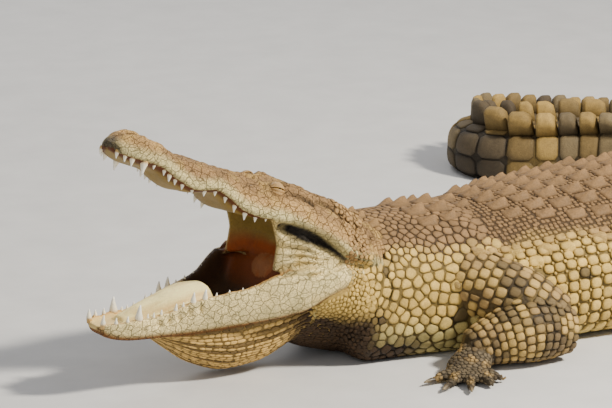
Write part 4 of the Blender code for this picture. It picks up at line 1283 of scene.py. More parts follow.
class Nodes:
    """Short ways to add and link shader nodes."""

    def __init__(self, name):
        self.material = bpy.data.materials.new(name)
        self.material.use_nodes = True
        self.tree = self.material.node_tree
        self.surface = self.tree.nodes["Principled BSDF"]
        self.place = self.add("ShaderNodeTexCoord").outputs["Object"]

    def add(self, kind, **settings):
        node = self.tree.nodes.new(kind)
        for key, value in settings.items():
            setattr(node, key, value)
        return node

    def link(self, source, target):
        self.tree.links.new(source, target)

    def attribute(self, name, output="Fac"):
        return self.add("ShaderNodeAttribute", attribute_name=name).outputs[output]

    def noise(self, scale, detail=4.0, roughness=0.6):
        node = self.add("ShaderNodeTexNoise")
        node.inputs["Scale"].default_value = scale
        node.inputs["Detail"].default_value = detail
        node.inputs["Roughness"].default_value = roughness
        self.link(self.place, node.inputs["Vector"])
        return node.outputs["Fac"]

    def cracks(self, scale, width):
        """1 inside the cells of a cracked surface and 0 in the cracks."""
        bend = self.add("ShaderNodeTexNoise")
        bend.inputs["Scale"].default_value = scale * 0.7
        self.link(self.place, bend.inputs["Vector"])
        moved = self.add("ShaderNodeVectorMath", operation="MULTIPLY_ADD")
        self.link(bend.outputs["Color"], moved.inputs[0])
        moved.inputs[1].default_value = (0.9 / scale,) * 3
        self.link(self.place, moved.inputs[2])
        cells = self.add("ShaderNodeTexVoronoi", feature="DISTANCE_TO_EDGE")
        cells.inputs["Scale"].default_value = scale
        self.link(moved.outputs[0], cells.inputs["Vector"])
        return self.ranged(cells.outputs["Distance"], 0.0, width, 0.0, 1.0)

    def ranged(self, source, low, high, to_low, to_high):
        node = self.add("ShaderNodeMapRange")
        self.link(source, node.inputs["Value"])
        for name, value in (("From Min", low), ("From Max", high), ("To Min", to_low), ("To Max", to_high)):
            node.inputs[name].default_value = value
        return node.outputs["Result"]

    def math(self, operation, first, second):
        node = self.add("ShaderNodeMath", operation=operation)
        for socket, value in zip(node.inputs, (first, second)):
            if isinstance(value, float):
                socket.default_value = value
            else:
                self.link(value, socket)
        return node.outputs[0]

    def mix(self, share, first, second):
        """From first at 0 to second at 1, for numbers."""
        return self.math("ADD", self.math("MULTIPLY", first, self.math("SUBTRACT", 1.0, share)),
                         self.math("MULTIPLY", second, share))

    def shaded(self, colour_output, factor):
        node = self.add("ShaderNodeVectorMath", operation="SCALE")
        self.link(colour_output, node.inputs[0])
        self.link(factor, node.inputs["Scale"])
        return node.outputs[0]

    def bump(self, height, strength, distance, below=None):
        node = self.add("ShaderNodeBump")
        node.inputs["Strength"].default_value = strength
        node.inputs["Distance"].default_value = distance
        self.link(height, node.inputs["Height"])
        if below is not None:
            self.link(below, node.inputs["Normal"])
        return node.outputs["Normal"]


def skin_material():
    """Dry cracked hide outside the mouth, and smooth wet lining inside it."""
    nodes = Nodes("skin")
    crackle = nodes.attribute("Crackle")
    wet = nodes.attribute("Wet")
    wide = nodes.cracks(72.0, 0.06)
    fine = nodes.cracks(190.0, 0.10)
    grain = nodes.noise(260.0, 6.0)
    stain = nodes.noise(28.0, 5.0, 0.65)
    lines = nodes.math("MULTIPLY", nodes.ranged(wide, 0.0, 1.0, 0.38, 1.0), nodes.ranged(fine, 0.0, 1.0, 0.70, 1.0))
    lines = nodes.mix(crackle, 1.0, lines)
    tone = nodes.math("MULTIPLY", nodes.ranged(grain, 0.3, 0.7, 0.88, 1.12),
                      nodes.ranged(stain, 0.3, 0.7, 0.84, 1.14))
    nodes.link(nodes.shaded(nodes.attribute("Col", "Color"), nodes.math("MULTIPLY", tone, lines)),
               nodes.surface.inputs["Base Color"])
    nodes.link(nodes.mix(wet, nodes.ranged(stain, 0.3, 0.7, 0.56, 0.74), 0.50), nodes.surface.inputs["Roughness"])
    nodes.link(nodes.mix(wet, 0.25, 0.15), nodes.surface.inputs["Specular IOR Level"])
    height = nodes.math("MULTIPLY", nodes.math("ADD", wide, nodes.math("MULTIPLY", fine, 0.4)), crackle)
    low = nodes.bump(grain, 0.35, 0.0012)
    nodes.link(nodes.bump(height, 0.9, 0.0022, low), nodes.surface.inputs["Normal"])
    return nodes.material


def scale_material(name, roughness, pits):
    """Horn-like scale: its own tint, fine grain, faint growth lines and pits."""
    nodes = Nodes(name)
    grain = nodes.noise(420.0, 6.0)
    stain = nodes.noise(70.0, 5.0, 0.7)
    spots = nodes.cracks(pits, 0.10)
    tone = nodes.math("MULTIPLY", nodes.ranged(grain, 0.3, 0.7, 0.86, 1.12),
                      nodes.ranged(stain, 0.3, 0.7, 0.78, 1.18))
    tone = nodes.math("MULTIPLY", tone, nodes.ranged(spots, 0.0, 1.0, 0.82, 1.0))
    nodes.link(nodes.shaded(nodes.attribute("Col", "Color"), tone), nodes.surface.inputs["Base Color"])
    nodes.link(nodes.ranged(stain, 0.3, 0.7, roughness - 0.09, roughness + 0.09), nodes.surface.inputs["Roughness"])
    nodes.surface.inputs["Specular IOR Level"].default_value = 0.28
    low = nodes.bump(grain, 0.4, 0.0009)
    nodes.link(nodes.bump(nodes.math("ADD", spots, nodes.math("MULTIPLY", stain, 0.8)), 0.45, 0.0010, low),
               nodes.surface.inputs["Normal"])
    return nodes.material


def hard_material(name, roughness, streak=160.0, coat=0.0):
    """Tooth, claw or eye: smooth, with the tint of its points and fine streaks."""
    nodes = Nodes(name)
    grain = nodes.noise(streak, 5.0)
    nodes.link(nodes.shaded(nodes.attribute("Col", "Color"), nodes.ranged(grain, 0.3, 0.7, 0.84, 1.10)),
               nodes.surface.inputs["Base Color"])
    nodes.link(nodes.ranged(grain, 0.3, 0.7, roughness - 0.05, roughness + 0.07), nodes.surface.inputs["Roughness"])
    nodes.surface.inputs["Coat Weight"].default_value = coat
    nodes.surface.inputs["Coat Roughness"].default_value = 0.08
    nodes.link(nodes.bump(grain, 0.25, 0.0006), nodes.surface.inputs["Normal"])
    return nodes.material


# ---- coats --------

def neck_spacing(points):
    """Small pebbles by the head, larger towards the shoulder and lower down."""
    distance = points[:, 0] + BELLY_X
    low = ramp(-points[:, 2], -0.22, -0.15)
    return 0.0080 + 0.034 * np.clip(distance - 0.04, 0, 0.2) + 0.0045 * low * ramp(distance, 0.03, 0.10)


def neck_coat(skin, part, place, material):
    """Irregular pebble scales on the neck, from the head's folds to the shoulders."""
    chance = np.random.default_rng(1)
    coat = Coat("coat_neck")
    template = round_template(12, 2.0, DOME)
    points, _ = mesh_arrays(skin)
    mask = (part == BODY_PART) & (place[:, 0] > 0.045) & (place[:, 0] < 0.325) & (points[:, 2] > 0.003)
    places, directions, spaces = scattered(skin, mask, neck_spacing, chance, 40000)
    shapes = pebbles(template, places, directions, spaces, 0.0019 + 0.10 * (spaces - 0.008), chance)
    distance = places[:, 0] + BELLY_X
    share = np.interp(places[:, 2], (0.0, 0.03, 0.11, 0.19, 0.225, 0.26), (1.0, 0.8, 0.55, 0.40, 0.25, 0.0))
    roots = np.stack((0.05 + distance * 2.6, 0.5 + 0.48 * np.sign(places[:, 1]) * share), -1)
    coat.add(template, shapes, tinted(hide_colour(places, distance, share), chance, 0.2), roots)
    coat.made(material)


def flank_coat(body, tree, material):
    """Rounded scales in rows on shoulders and flanks, from the edge of the armour down to the belly."""
    chance = np.random.default_rng(2)
    coat = Coat("coat_flanks")
    template = round_template(12, 3.0, DOME)
    cells = grid_cells(body, COAT_START, TAIL_ROOT, lambda u: 0.0235 + 0.004 * float(ramp(u, 0.4, 0.7)),
                       FLANK_SHARE, BELLY_SHARE, lambda u, v: 0.017 + 0.032 * max(v - FLANK_SHARE, 0),
                       lambda u, v: 0.0052, chance, 0.95, 0.0, 0.07)
    cells = settle(body, cells, tree)
    coat.lay(body, template, cells, chance, 0.16)
    corners = cells.copy()
    corners[:, 0] += corners[:, 2] * 1.08
    corners[:, 1] += np.sign(corners[:, 1]) * corners[:, 3] * 2.16 / body.girth_at(corners[:, 0])
    corners[:, 2:4] = chance.uniform(0.0026, 0.0042, (len(corners), 1))
    corners[:, 4] = 0.0035
    small = round_template(7, 2.0, LOW_DOME)
    coat.lay(body, small, corners, chance, 0.2, shade=0.8)
    coat.made(material)


def belly_coat(body, tree, material):
    """Smooth oblong plates in rows across the belly."""
    chance = np.random.default_rng(3)
    coat = Coat("coat_belly")
    template = round_template(12, 5.0, LOW_DOME)
    cells = grid_cells(body, COAT_START, TAIL_ROOT, lambda u: 0.031, BELLY_SHARE, 1.0, lambda u, v: 0.028,
                       lambda u, v: 0.0036, chance, 0.94, 0.0, 0.02)
    cells = settle(body, cells, tree)
    coat.lay(body, template, cells, chance, 0.10)
    coat.made(material)


def armour_cells(body, chance):
    """Cross rows of four keeled scutes a side along the back, wider apart on the widest trunk."""
    cells = []
    rows = 16
    for row in range(rows):
        u = 0.385 + row * 0.0565
        half_arc = float(np.interp(u, (0.36, 0.50, 0.75, 0.95, 1.27), (0.105, 0.165, 0.185, 0.165, 0.085)))
        columns = 4 if half_arc > 0.12 else 3
        wide = half_arc / columns
        half_girth = body.girth_at(u) / 2
        for side in (-1, 1):
            for column in range(columns):
                shrink = 0.90 if column < columns - 1 else 0.80
                shift = chance.uniform(-0.0025, 0.0025, 2)
                middle = side * (column + 0.5) * wide + shift[1]
                height = 0.0155 * (1.0 if column < columns - 1 else 0.85) * chance.uniform(0.8, 1.12)
                cells.append((u + shift[0] + 0.006 * column, middle / half_girth, 0.0272 * shrink,
                              wide * 0.50 * shrink, height, chance.uniform(-0.08, 0.08), 0.0))
    return cells


def nape_cells(body, chance):
    """Small bosses behind the head and the shield of big keeled scutes on the nape."""
    places = ((0.105, 0.018, 0.015, 0.012, 0.013), (0.108, 0.055, 0.015, 0.013, 0.013),
              (0.222, 0.026, 0.026, 0.021, 0.019), (0.224, 0.070, 0.023, 0.018, 0.016),
              (0.278, 0.024, 0.025, 0.021, 0.018), (0.276, 0.066, 0.019, 0.015, 0.014),
              (0.330, 0.022, 0.018, 0.015, 0.012))
    cells = []
    for u, across, half_u, half_v, height in places:
        for side in (-1, 1):
            shift = chance.uniform(-0.003, 0.003, 2)
            v = side * (across + shift[1]) / (body.girth_at(u) / 2)
            cells.append((u + shift[0], v, half_u, half_v, height, chance.uniform(-0.1, 0.1), 0.0))
    return cells


def side_boss_cells(chance):
    """Scattered bigger bosses on the upper shoulder and flank."""
    cells = []
    for u, share in ((0.285, 0.33), (0.315, 0.38), (0.35, 0.345), (0.39, 0.39), (0.335, 0.43), (0.41, 0.35),
                     (0.46, 0.36), (0.53, 0.345), (0.61, 0.35), (0.69, 0.345), (0.78, 0.35), (0.88, 0.35)):
        for side in (-1, 1):
            half = chance.uniform(0.013, 0.017)
            cells.append((u + chance.uniform(-0.006, 0.006), side * share, half * 1.1, half, 0.0085,
                          chance.uniform(-0.2, 0.2), 0.0))
    return cells


def armour_coat(body, tree, material):
    """The back's keeled scutes, the nape's shield, the flank's bosses and the granules between them."""
    chance = np.random.default_rng(4)
    coat = Coat("coat_armour")
    template = ridged_template(11, 11, 4.5, keel_height)
    cells = settle(body, np.array(armour_cells(body, chance) + nape_cells(body, chance)), tree, 0.006)
    coat.lay(body, template, cells, chance, 0.10, lean=0.06)
    template = ridged_template(9, 9, 2.8, keel_height)
    cells = settle(body, np.array(side_boss_cells(chance)), tree, 0.006)
    coat.lay(body, template, cells, chance, 0.12)
    small = round_template(7, 2.4, GRANULE_DOME)
    cells = grid_cells(body, COAT_START, 1.30, lambda u: GRANULE_PITCH, 0.0, 0.33, lambda u, v: GRANULE_PITCH,
                       lambda u, v: 0.0017, chance, 0.97, 0.5, 0.20)
    cells = settle(body, cells, tree)
    coat.lay(body, small, cells, chance, 0.10, shade=0.92)
    coat.made(material)


def tail_coat(body, tree, material):
    """Each whorl's plates: three rows a side and the belly's."""
    chance = np.random.default_rng(5)
    coat = Coat("coat_tail")
    template = round_template(16, 7.0, DOME)
    edges = (0.0, 0.235, 0.50, 0.73, 0.90, 1.0)
    cells = []
    for start, end in zip(WHORLS, WHORLS[1:]):
        half_girth = body.girth_at(start) / 2
        for side in (-1, 1):
            for low, high in zip(edges, edges[1:]):
                height = 0.0045 * min(1.0, half_girth / 0.12)
                cells.append(((start + end) / 2, side * (low + high) / 2, (end - start) * 0.475,
                              (high - low) * half_girth * 0.47, height * chance.uniform(0.85, 1.1),
                              chance.uniform(-0.03, 0.03), 0.0))
    cells = settle(body, np.array(cells), tree)
    coat.lay(body, template, cells, chance, 0.10)
    coat.made(material)


def crest_coat(body, tree, material):
    """The tail's upright scutes: two rows that meet in one towards the tip."""
    chance = np.random.default_rng(6)
    coat = Coat("coat_crest")
    template = ridged_template(11, 9, 6.0, flap_height)
    cells = []
    for start, end in zip(WHORLS, WHORLS[1:]):
        pair = float(smooth(CREST_PAIR, start))
        height = float(smooth(CREST, (start + end) / 2)) + COAT_DEPTH
        half_width = float(smooth(HALF_WIDTH, start))
        half_girth = body.girth_at(start) / 2
        for side in ((-1, 1) if pair > 0.05 else (0,)):
            across = side * 0.62 * pair * half_width
            thick = min(0.014, 0.24 * half_width) if pair > 0.05 else 0.18 * half_width
            cells.append(((start + end) / 2, across / half_girth, (end - start) * 0.49, thick,
                          height * chance.uniform(0.9, 1.0), 0.0, 0.0))
    cells = settle(body, np.array(cells), tree, 0.006)
    coat.lay(body, template, cells, chance, 0.10, lean=0.05)
    coat.made(material)


def leg_coat(limbs, tree, material):
    """Rows of oblong scales round each length of leg."""
    chance = np.random.default_rng(7)
    coat = Coat("coat_legs")
    template = round_template(12, 4.0, DOME)
    for number, sheet in enumerate(limbs):
        length = sheet.along[-1]
        upper = number % 2 == 0
        step = 0.0200 if upper else 0.0155
        cells = []
        for row in range(int(length / step) + 1):
            u = (row + 0.5) * step
            count = max(6, round(sheet.girth_at(min(u, length)) / (0.022 if upper else 0.0175)))
            for column in range(count):
                v = ((column + 0.5 * (row % 2) * upper) / count + chance.uniform(-0.1, 0.1) / count) % 1 * 2 - 1
                size = chance.uniform(0.43, 0.475)
                cells.append((u, v, step * size, sheet.girth_at(min(u, length)) / count * size,
                              0.0038 * chance.uniform(0.8, 1.1), chance.uniform(-0.06, 0.06), 0.0))
        cells = np.array(cells)
        cells = settle(sheet, cells[cells[:, 0] < length], tree)
        if not len(cells):
            continue
        points = sheet.at(cells[:, 0], cells[:, 1])
        tile = np.array((number % 4, number // 4)) / np.array((4, 2))
        roots = tile + np.stack((cells[:, 0] / length * 0.23, (cells[:, 1] + 1) * 0.23), -1) + 0.01
        coat.add(template, lay_scales(sheet, template, cells), tinted(limb_colour(points), chance, 0.16), roots)
    coat.made(material)


# How many neighbours shape a pebble scale, how sharp its corners are, and how much of its cell it fills.
NEIGHBOURS = 9
PEBBLE_SHARPNESS = 14.0
PEBBLE_FILL = 0.965


def scattered(skin, mask, spacing, chance, tries):
    """Places on the skin at least a spacing apart, where the mask allows: points, normals."""
    mesh = skin.data
    mesh.calc_loop_triangles()
    faces = np.empty(len(mesh.loop_triangles) * 3, np.int32)
    mesh.loop_triangles.foreach_get("vertices", faces)
    faces = faces.reshape(-1, 3)
    faces = faces[mask[faces].all(1)]
    points, _ = mesh_arrays(skin)
    normals = mesh_normals(skin)
    corners = points[faces]
    area = np.linalg.norm(np.cross(corners[:, 1] - corners[:, 0], corners[:, 2] - corners[:, 0]), axis=1)
    pick = chance.choice(len(faces), tries, p=area / area.sum())
    a, b = chance.random((2, tries))
    flip = a + b > 1
    a, b = np.where(flip, 1 - a, a), np.where(flip, 1 - b, b)
    weights = np.stack((1 - a - b, a, b), -1)[..., None]
    places = (points[faces[pick]] * weights).sum(1)
    directions = unit((normals[faces[pick]] * weights).sum(1))
    spaces = spacing(places)
    taken = {}
    kept = []
    cell = float(spaces.max())
    for i, (place, space) in enumerate(zip(places, spaces)):
        key = tuple(np.floor(place / cell).astype(int))
        close = False
        for step in np.ndindex(3, 3, 3):
            for other in taken.get((key[0] + step[0] - 1, key[1] + step[1] - 1, key[2] + step[2] - 1), ()):
                gap = places[other] - place
                if gap @ gap < (0.5 * (space + spaces[other])) ** 2:
                    close = True
                    break
            if close:
                break
        if not close:
            taken.setdefault(key, []).append(i)
            kept.append(i)
    return places[kept], directions[kept], spaces[kept]


def pebbles(template, places, directions, spaces, height, chance):
    """Scales set straight on the skin, each grown until it nearly meets its neighbours."""
    across = unit(np.cross(directions, (1.0, 0.0, 0.0)))
    along = np.cross(across, directions)
    finder = KDTree(len(places))
    for i, place in enumerate(places):
        finder.insert(place, i)
    finder.balance()
    near = np.array([[found[1] for found in finder.find_n(place, NEIGHBOURS + 1)][1:] for place in places])
    apart = places[near] - places[:, None]
    side = np.stack(((apart * along[:, None]).sum(-1), (apart * across[:, None]).sum(-1)), -1)
    x, y, z = template.points.T
    size = np.hypot(x, y)
    turned = np.stack((x, y), -1) / np.maximum(size, 1e-6)[:, None]
    facing = np.einsum("nkc,pc->nkp", side, turned)
    limit = 0.5 * (side ** 2).sum(-1)[..., None] / np.maximum(facing, 1e-5)
    limit = np.minimum(limit, 1.1 * spaces[:, None, None])
    reach = (limit ** -PEBBLE_SHARPNESS).sum(1) ** (-1 / PEBBLE_SHARPNESS)
    reach = reach * (PEBBLE_FILL * chance.uniform(0.93, 1.0, len(places)))[:, None]
    height = np.broadcast_to(height, len(spaces))[:, None]
    rise = np.where(z < 0, z * 0.003, z * height)
    points = places[:, None] + (reach * size)[..., None] * (
        turned[:, 0, None] * along[:, None] + turned[:, 1, None] * across[:, None])
    return points + rise[..., None] * directions[:, None]


def foot_coat(skin, part, material):
    """Knobbly scales over hands and feet."""
    chance = np.random.default_rng(8)
    coat = Coat("coat_feet")
    template = round_template(8, 2.6, LOW_DOME)
    points, _ = mesh_arrays(skin)
    mask = (part == FOOT_PART) & (points[:, 2] > 0.004)
    places, directions, spaces = scattered(skin, mask, lambda p: 0.0066 + 0.006 * p[:, 2], chance, 26000)
    shapes = pebbles(template, places, directions, spaces, 0.0016, chance)
    roots = np.stack(((places[:, 0] + 1.1) / 2.6, (places[:, 1] + 0.6) / 1.8), -1)
    coat.add(template, shapes, tinted(foot_colour(places), chance, 0.2), roots)
    coat.made(material)


def nape_coat(skin, part, material):
    """Fine granules between the head and the neck's rows."""
    chance = np.random.default_rng(9)
    coat = Coat("coat_nape")
    template = round_template(8, 2.0, LOW_DOME)
    points, _ = mesh_arrays(skin)
    x = points[:, 0] + BELLY_X
    limit = 0.062 + 0.006 * noise(points, 0.03, 61)
    low = (x > -0.05) & (points[:, 2] < smooth(JAW_BOTTOM, x) - 0.002) & np.isin(part, (BODY_PART, POUCH_PART))
    behind = ((x > 0.012) & (part != POUCH_PART) | low) & (x < limit) & (points[:, 2] > 0.01)
    places, directions, spaces = scattered(
        skin, behind, lambda p: 0.0062 + 0.035 * np.clip(p[:, 0] + BELLY_X, 0, 0.1), chance, 22000)
    shapes = pebbles(template, places, directions, spaces, 0.0018, chance)
    distance = places[:, 0] + BELLY_X
    share = np.interp(places[:, 2], (0.0, 0.11, 0.19, 0.225, 0.26), (1.0, 0.55, 0.40, 0.25, 0.0))
    lower_half = 0.5 * (places[:, 2] < 0.15)
    roots = np.stack((distance / 0.16 + 0.1, (places[:, 1] + 0.2) / 0.8 + lower_half), -1)
    coat.add(template, shapes, tinted(hide_colour(places, distance, share), chance, 0.18), roots)
    coat.made(material)


def throat_coat(tree, material):
    """Long scales in lengthwise rows under the throat pouch, with dark furrows between the rows."""
    chance = np.random.default_rng(10)
    coat = Coat("coat_throat")
    template = round_template(10, 3.0, LOW_DOME)
    rings = pouch_rings()
    sheet = Sheet(rings[:, 0, 0] + BELLY_X, rings)
    if sheet.normals[len(rings) // 2, 16, 2] > 0:
        sheet = Sheet(sheet.along, rings, flip=True)
    cells = []
    rows = 41
    for row in range(rows):
        v = (row + 0.5) / rows * 2 - 1
        u = -0.34 + chance.uniform(0, 0.012)
        while u < 0.05:
            wide = sheet.girth_at(u) / rows
            long = chance.uniform(0.010, 0.020)
            wave = 0.25 / rows * math.sin(60 * u + 1.7 * row)
            cells.append((u, v + wave, 0.52 * long, wide * chance.uniform(0.40, 0.52), 0.34 * wide,
                          chance.uniform(-0.08, 0.08), -0.0004))
            u += long
    cells = settle(sheet, np.array(cells), tree)
    row_tone = noise(np.stack((cells[:, 0] * 4, np.round(cells[:, 1] * rows / 2), 0 * cells[:, 0]), -1), 1.0, 62)
    tints = blend(POUCH_TAN, THROAT_BROWN_AND_SHADE, 0.8 * ramp(row_tone, 0.05, 0.45))
    # Painted shade towards the pouch's rear, under the end of the jaw.
    tints = blend(tints, THROAT_BROWN_AND_SHADE, ramp(cells[:, 0], -0.12, -0.05))
    roots = np.stack(((cells[:, 0] + 0.36) / 0.43, 0.5 + 0.48 * cells[:, 1]), -1)
    coat.add(template, lay_scales(sheet, template, cells), tinted(tints, chance, 0.2), roots)
    coat.made(material)


# ---- teeth, claws and eyes --------

def horn_rings(root, direction, bend, length, radius, tip, sides=12, rows=8):
    """A curved cone: its axis leaves along the direction and bends towards bend."""
    rings = []
    shares = []
    for share in np.linspace(-0.35, 1.0, rows):
        reach = max(share, 0.0)
        centre = root + share * length * direction + reach ** 2 * length * 0.12 * bend
        run = unit(direction + 0.24 * reach * bend)
        aside = unit(np.cross(run, np.array((0.31, 1.0, 0.17))))
        other = np.cross(run, aside)
        size = radius * (1 - (1 - tip) * reach ** 1.25) * (0.90 + 0.10 * math.sin(math.pi * min(reach * 2, 1)))
        angle = 2 * math.pi * np.arange(sides)[:, None] / sides
        rings.append(centre + size * (np.cos(angle) * aside + np.sin(angle) * other))
        shares.append(reach)
    return np.array(rings), np.array(shares)


def joined_piece(name, shapes, material):
    """One piece from closed shapes, each its points, faces and colours."""
    points, faces, colours = [], [], []
    count = 0
    for shape_points, shape_faces, shape_colours in shapes:
        points.append(shape_points)
        faces.append(shape_faces + count)
        colours.append(shape_colours)
        count += len(shape_points)
    return make_piece(name, np.concatenate(points), np.concatenate(faces), np.concatenate(colours), material)


def painted_loft(rings, tints):
    """A closed loft with a colour for each ring."""
    points, faces = closed_loft(rings)
    return points, faces, np.concatenate((np.repeat(tints, rings.shape[1], axis=0), tints[:1], tints[-1:]))


def tooth_colours(shares):
    """Brownish at the gum, ivory above it and white at the tip."""
    ivory = blend(colour(200, 160, 92), colour(250, 242, 216), ramp(shares, 0.0, 0.30))
    return blend(ivory, colour(254, 252, 244), ramp(shares, 0.5, 1.0))


def make_teeth(material):
    """Conical teeth along both jaws."""
    upper, lower = [], []
    head_up = np.array((math.sin(HEAD_PITCH), 0.0, math.cos(HEAD_PITCH)))
    head_back = np.array((math.cos(HEAD_PITCH), 0.0, -math.sin(HEAD_PITCH)))
    for side in (-1, 1):
        for forward, length in UPPER_TEETH:
            across = side * 0.84 * float(smooth(HEAD_HALF_WIDTH, forward))
            root = head_point(forward, across, float(smooth(LIP, forward) - lip_sag(forward, across)) + 0.002)
            direction = unit(-head_up + np.array((0.0, 0.12 * side, 0.0)))
            rings, shares = horn_rings(root, direction, head_back, length, 0.27 * length + 0.0014, 0.15)
            upper.append(painted_loft(rings, tooth_colours(shares)))
        for forward, length in LOWER_TEETH:
            rim = float(smooth(JAW_TOP, -forward)) - (side > 0) * float(smooth(RIM_SAG, -forward))
            across = side * 0.86 * float(smooth(JAW_HALF_WIDTH, -forward))
            root = np.array((-forward - BELLY_X, across, rim - 0.003))
            direction = unit(np.array((-0.05, 0.10 * side, 1.0)))
            rings, shares = horn_rings(root, direction, np.array((1.0, 0.0, 0.0)), length + 0.002,
                                       0.26 * length + 0.0014, 0.15)
            lower.append(painted_loft(rings, tooth_colours(shares)))
    joined_piece("upper_teeth", upper, material)
    joined_piece("lower_teeth", lower, material)


def make_claws(material):
    """Curved blunt claws on the three inner toes of each foot."""
    lofts = []
    names = []
    for name, _, _, palm, toes, at in LEGS:
        for side, word in SIDES:
            heel = limb_place(at, *palm[0], 0.0, side)
            ball = limb_place(at, *palm[1], 0.0, side)
            for number, (spread, length, clawed) in enumerate(toes, 1):
                if not clawed:
                    continue
                aim = float(spine_heading(at)) + math.pi - side * math.radians(spread)
                run = np.array((math.cos(aim), math.sin(aim), 0.0))
                tip = 0.5 * (heel + ball) + (KNUCKLE_REACH + length) * run
                root = tip + np.array((0.0, 0.0, 0.0088)) - 0.002 * run
                rings, shares = horn_rings(root, unit(run + np.array((0, 0, 0.10))), np.array((0.0, 0.0, -1.0)),
                                           0.75 * CLAW_LENGTH, 0.0056, 0.30)
                rings[..., 2] = np.maximum(rings[..., 2], SCALE_CLEARANCE)
                tints = blend(colour(56, 48, 38), colour(128, 112, 84), ramp(shares, 0.1, 0.9))
                lofts.append(painted_loft(rings, tints))
                names.append("claw_" + name + "_" + word + "_foot_" + str(number))
    claws = joined_piece("claws", lofts, material)
    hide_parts(*names)


def eye_axes(side):
    """The way the eye looks, the way its slit runs, and the way its lids open."""
    head_forward = np.array((-math.cos(HEAD_PITCH), 0.0, math.sin(HEAD_PITCH)))
    head_up = np.array((math.sin(HEAD_PITCH), 0.0, math.cos(HEAD_PITCH)))
    look = unit(np.array((0.0, side, 0.0)) + 0.42 * head_up + 0.10 * head_forward)
    slit = unit(head_forward - (head_forward @ look) * look)
    return look, slit, np.cross(look, slit) * (-side)


def shell_rings(centre, axes, radius, start, end, rows=15, columns=33):
    """A lid: a closed band of a sphere between two angles from the slit."""
    look, slit, above = axes
    turn = np.radians(np.linspace(-88, 88, columns))
    rings = []
    shares = np.linspace(0, 1, rows)
    for share, grow in [(t, 0.0) for t in shares] + [(t, -0.0022) for t in shares[::-1]]:
        lift = math.radians(start + (end - start) * share)
        edge = 0.0010 * math.exp(-(share / 0.10) ** 2)
        crease = 0.0009 * math.exp(-((share - 0.28) / 0.07) ** 2)
        size = radius + grow + edge - crease
        direction = (np.cos(turn)[:, None] * (math.cos(lift) * look + math.sin(lift) * above)
                     + np.sin(turn)[:, None] * slit)
        rings.append(centre + size * direction)
    return np.array(rings)


def painted_band(rings, tint):
    """A closed band in one colour: rows run round its section and columns along the eye's slit."""
    rows, columns = rings.shape[:2]
    points = rings.transpose(1, 0, 2).reshape(-1, 3)
    return points, split_quads(ring_faces(columns, rows)), tint + 0 * points


def make_eyes(eye_material, lid_material):
    """Amber eyes with a slit pupil, nearly shut between golden lids."""
    lids = []
    for side, word in SIDES:
        centre = eye_middle(side)
        look, slit, above = eye_axes(side)
        polar, turn = np.meshgrid(np.linspace(0, math.pi, 33), np.linspace(0, 2 * math.pi, 40, endpoint=False),
                                  indexing="ij")
        ring = np.cos(turn)[..., None] * slit + np.sin(turn)[..., None] * above
        rings = centre + EYE_RADIUS * (np.cos(polar)[..., None] * look + np.sin(polar)[..., None] * ring)
        points, faces = closed_loft(rings[1:-1])
        local = (points - centre) / EYE_RADIUS
        pupil = bell(local @ slit, 0.10) * (local @ look > 0)
        iris = ramp(local @ look, 0.55, 0.75)
        tints = blend(colour(120, 96, 60) + 0 * points, colour(186, 150, 52), iris)
        tints = blend(tints, colour(12, 10, 8), np.clip(1.6 * pupil, 0, 1))
        eye = make_piece("eye_" + word + "_fine", points, faces, tints, eye_material)
        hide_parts("eye_" + word)
        gold = colour(186, 150, 98)
        axes = (look, slit, above)
        lids.append(painted_band(shell_rings(centre, axes, LID_RADIUS, 7.0, 82.0), gold))
        lids.append(painted_band(shell_rings(centre, axes, LID_RADIUS - 0.0003, -5.0, -80.0), 0.92 * gold))
    joined_piece("eyelids", lids, lid_material)


# ---- stage --------

def make_camera():
    """A long lens that looks at the head from its left and a little above."""
    data = bpy.data.cameras.new("camera")
    data.sensor_width = SENSOR
    data.lens = CAMERA_LENS
    camera = bpy.data.objects.new("camera", data)
    bpy.context.scene.collection.objects.link(camera)
    level = math.cos(CAMERA_RISE)
    back = Vector((math.sin(CAMERA_AZIMUTH) * level, -math.cos(CAMERA_AZIMUTH) * level, math.sin(CAMERA_RISE)))
    camera.location = Vector((-BELLY_X, 0.0, CAMERA_TARGET_Z)) + CAMERA_DISTANCE * back
    camera.rotation_euler = back.to_track_quat("Z", "Y").to_euler()
    data.clip_end = 100.0
    bpy.context.scene.camera = camera


def make_light(name, place, target, power, size, tint):
    data = bpy.data.lights.new(name, "AREA")
    data.energy = power
    data.size = size
    data.color = tint
    light = bpy.data.objects.new(name, data)
    bpy.context.scene.collection.objects.link(light)
    light.location = place
    light.rotation_euler = (Vector(place) - Vector(target)).to_track_quat("Z", "Y").to_euler()


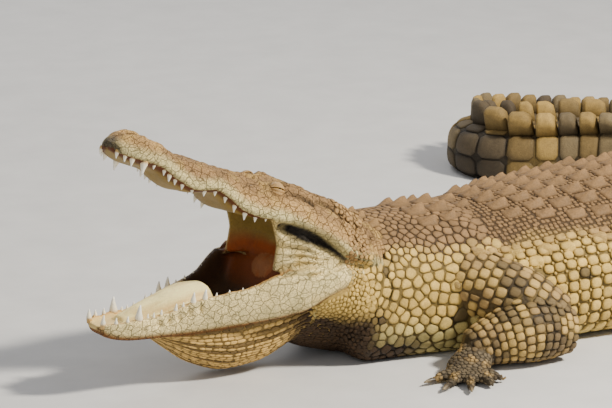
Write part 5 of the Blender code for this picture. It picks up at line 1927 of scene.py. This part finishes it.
def make_stage():
    """A pale floor under soft studio light."""
    floor = make_mesh("floor", np.array(((-12, -12, 0), (12, -12, 0), (12, 12, 0), (-12, 12, 0)), float),
                      np.array(((0, 1, 2, 3),)))
    nodes = Nodes("floor")
    grain = nodes.noise(9.0, 4.0)
    paint = nodes.add("ShaderNodeCombineColor")
    for socket in paint.inputs:
        nodes.link(nodes.ranged(grain, 0.3, 0.7, 0.60, 0.66), socket)
    nodes.link(paint.outputs[0], nodes.surface.inputs["Base Color"])
    nodes.surface.inputs["Roughness"].default_value = 0.8
    floor.data.materials.append(nodes.material)
    world = bpy.data.worlds.new("studio")
    bpy.context.scene.world = world
    world.use_nodes = True
    world.node_tree.nodes["Background"].inputs["Color"].default_value = WORLD_TINT
    world.node_tree.nodes["Background"].inputs["Strength"].default_value = WORLD_STRENGTH
    make_light("key", (1.6, -2.4, 3.2), LIGHTS_AIM, 400.0, 0.5, (1.0, 0.93, 0.80))
    make_light("fill", (-3.5, -2.5, 2.2), LIGHTS_AIM, 26.0, 2.5, (1.0, 0.97, 0.92))
    make_light("back", (0.5, 3.6, 3.0), LIGHTS_AIM, 60.0, 2.0, (1.0, 0.98, 0.95))


# ---- all of it --------

def flesh_nodes():
    """Every node but the eyes and claws, which stay pieces of their own."""
    return [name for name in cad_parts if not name.startswith(("eye_", "claw_"))]


def build():
    make_camera()
    make_stage()
    body = body_sheet(1.0)
    limbs = []
    for _, upper, lower, _, _, at in LEGS:
        for side, _ in SIDES:
            limbs.append(limb_sheet(upper, at, side, LIMB_DEPTH))
            limbs.append(limb_sheet(lower, at, side, LIMB_DEPTH))
    skin, part, place = make_skin(body, limbs)
    skin_colours(skin, part, place)
    skin.data.materials.clear()
    skin.data.materials.append(skin_material())
    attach(skin, "root")
    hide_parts(*flesh_nodes())
    points, _ = mesh_arrays(skin)
    skin.data.calc_loop_triangles()
    tree = BVHTree.FromPolygons(points.tolist(), [tuple(t.vertices) for t in skin.data.loop_triangles])
    hide = scale_material("hide_scales", 0.62, 330.0)
    horn = scale_material("armour_scales", 0.66, 210.0)
    neck_coat(skin, part, place, hide)
    flank_coat(body, tree, hide)
    belly_coat(body, tree, hide)
    armour_coat(body, tree, horn)
    tail_coat(body, tree, horn)
    crest_coat(body, tree, horn)
    leg_coat(limbs, tree, hide)
    foot_coat(skin, part, hide)
    nape_coat(skin, part, hide)
    throat_coat(tree, hide)
    make_teeth(hard_material("ivory", 0.32))
    make_claws(hard_material("claw", 0.42))
    make_eyes(hard_material("eye", 0.12, 220.0, 1.0), scale_material("lids", 0.5, 500.0))


build()
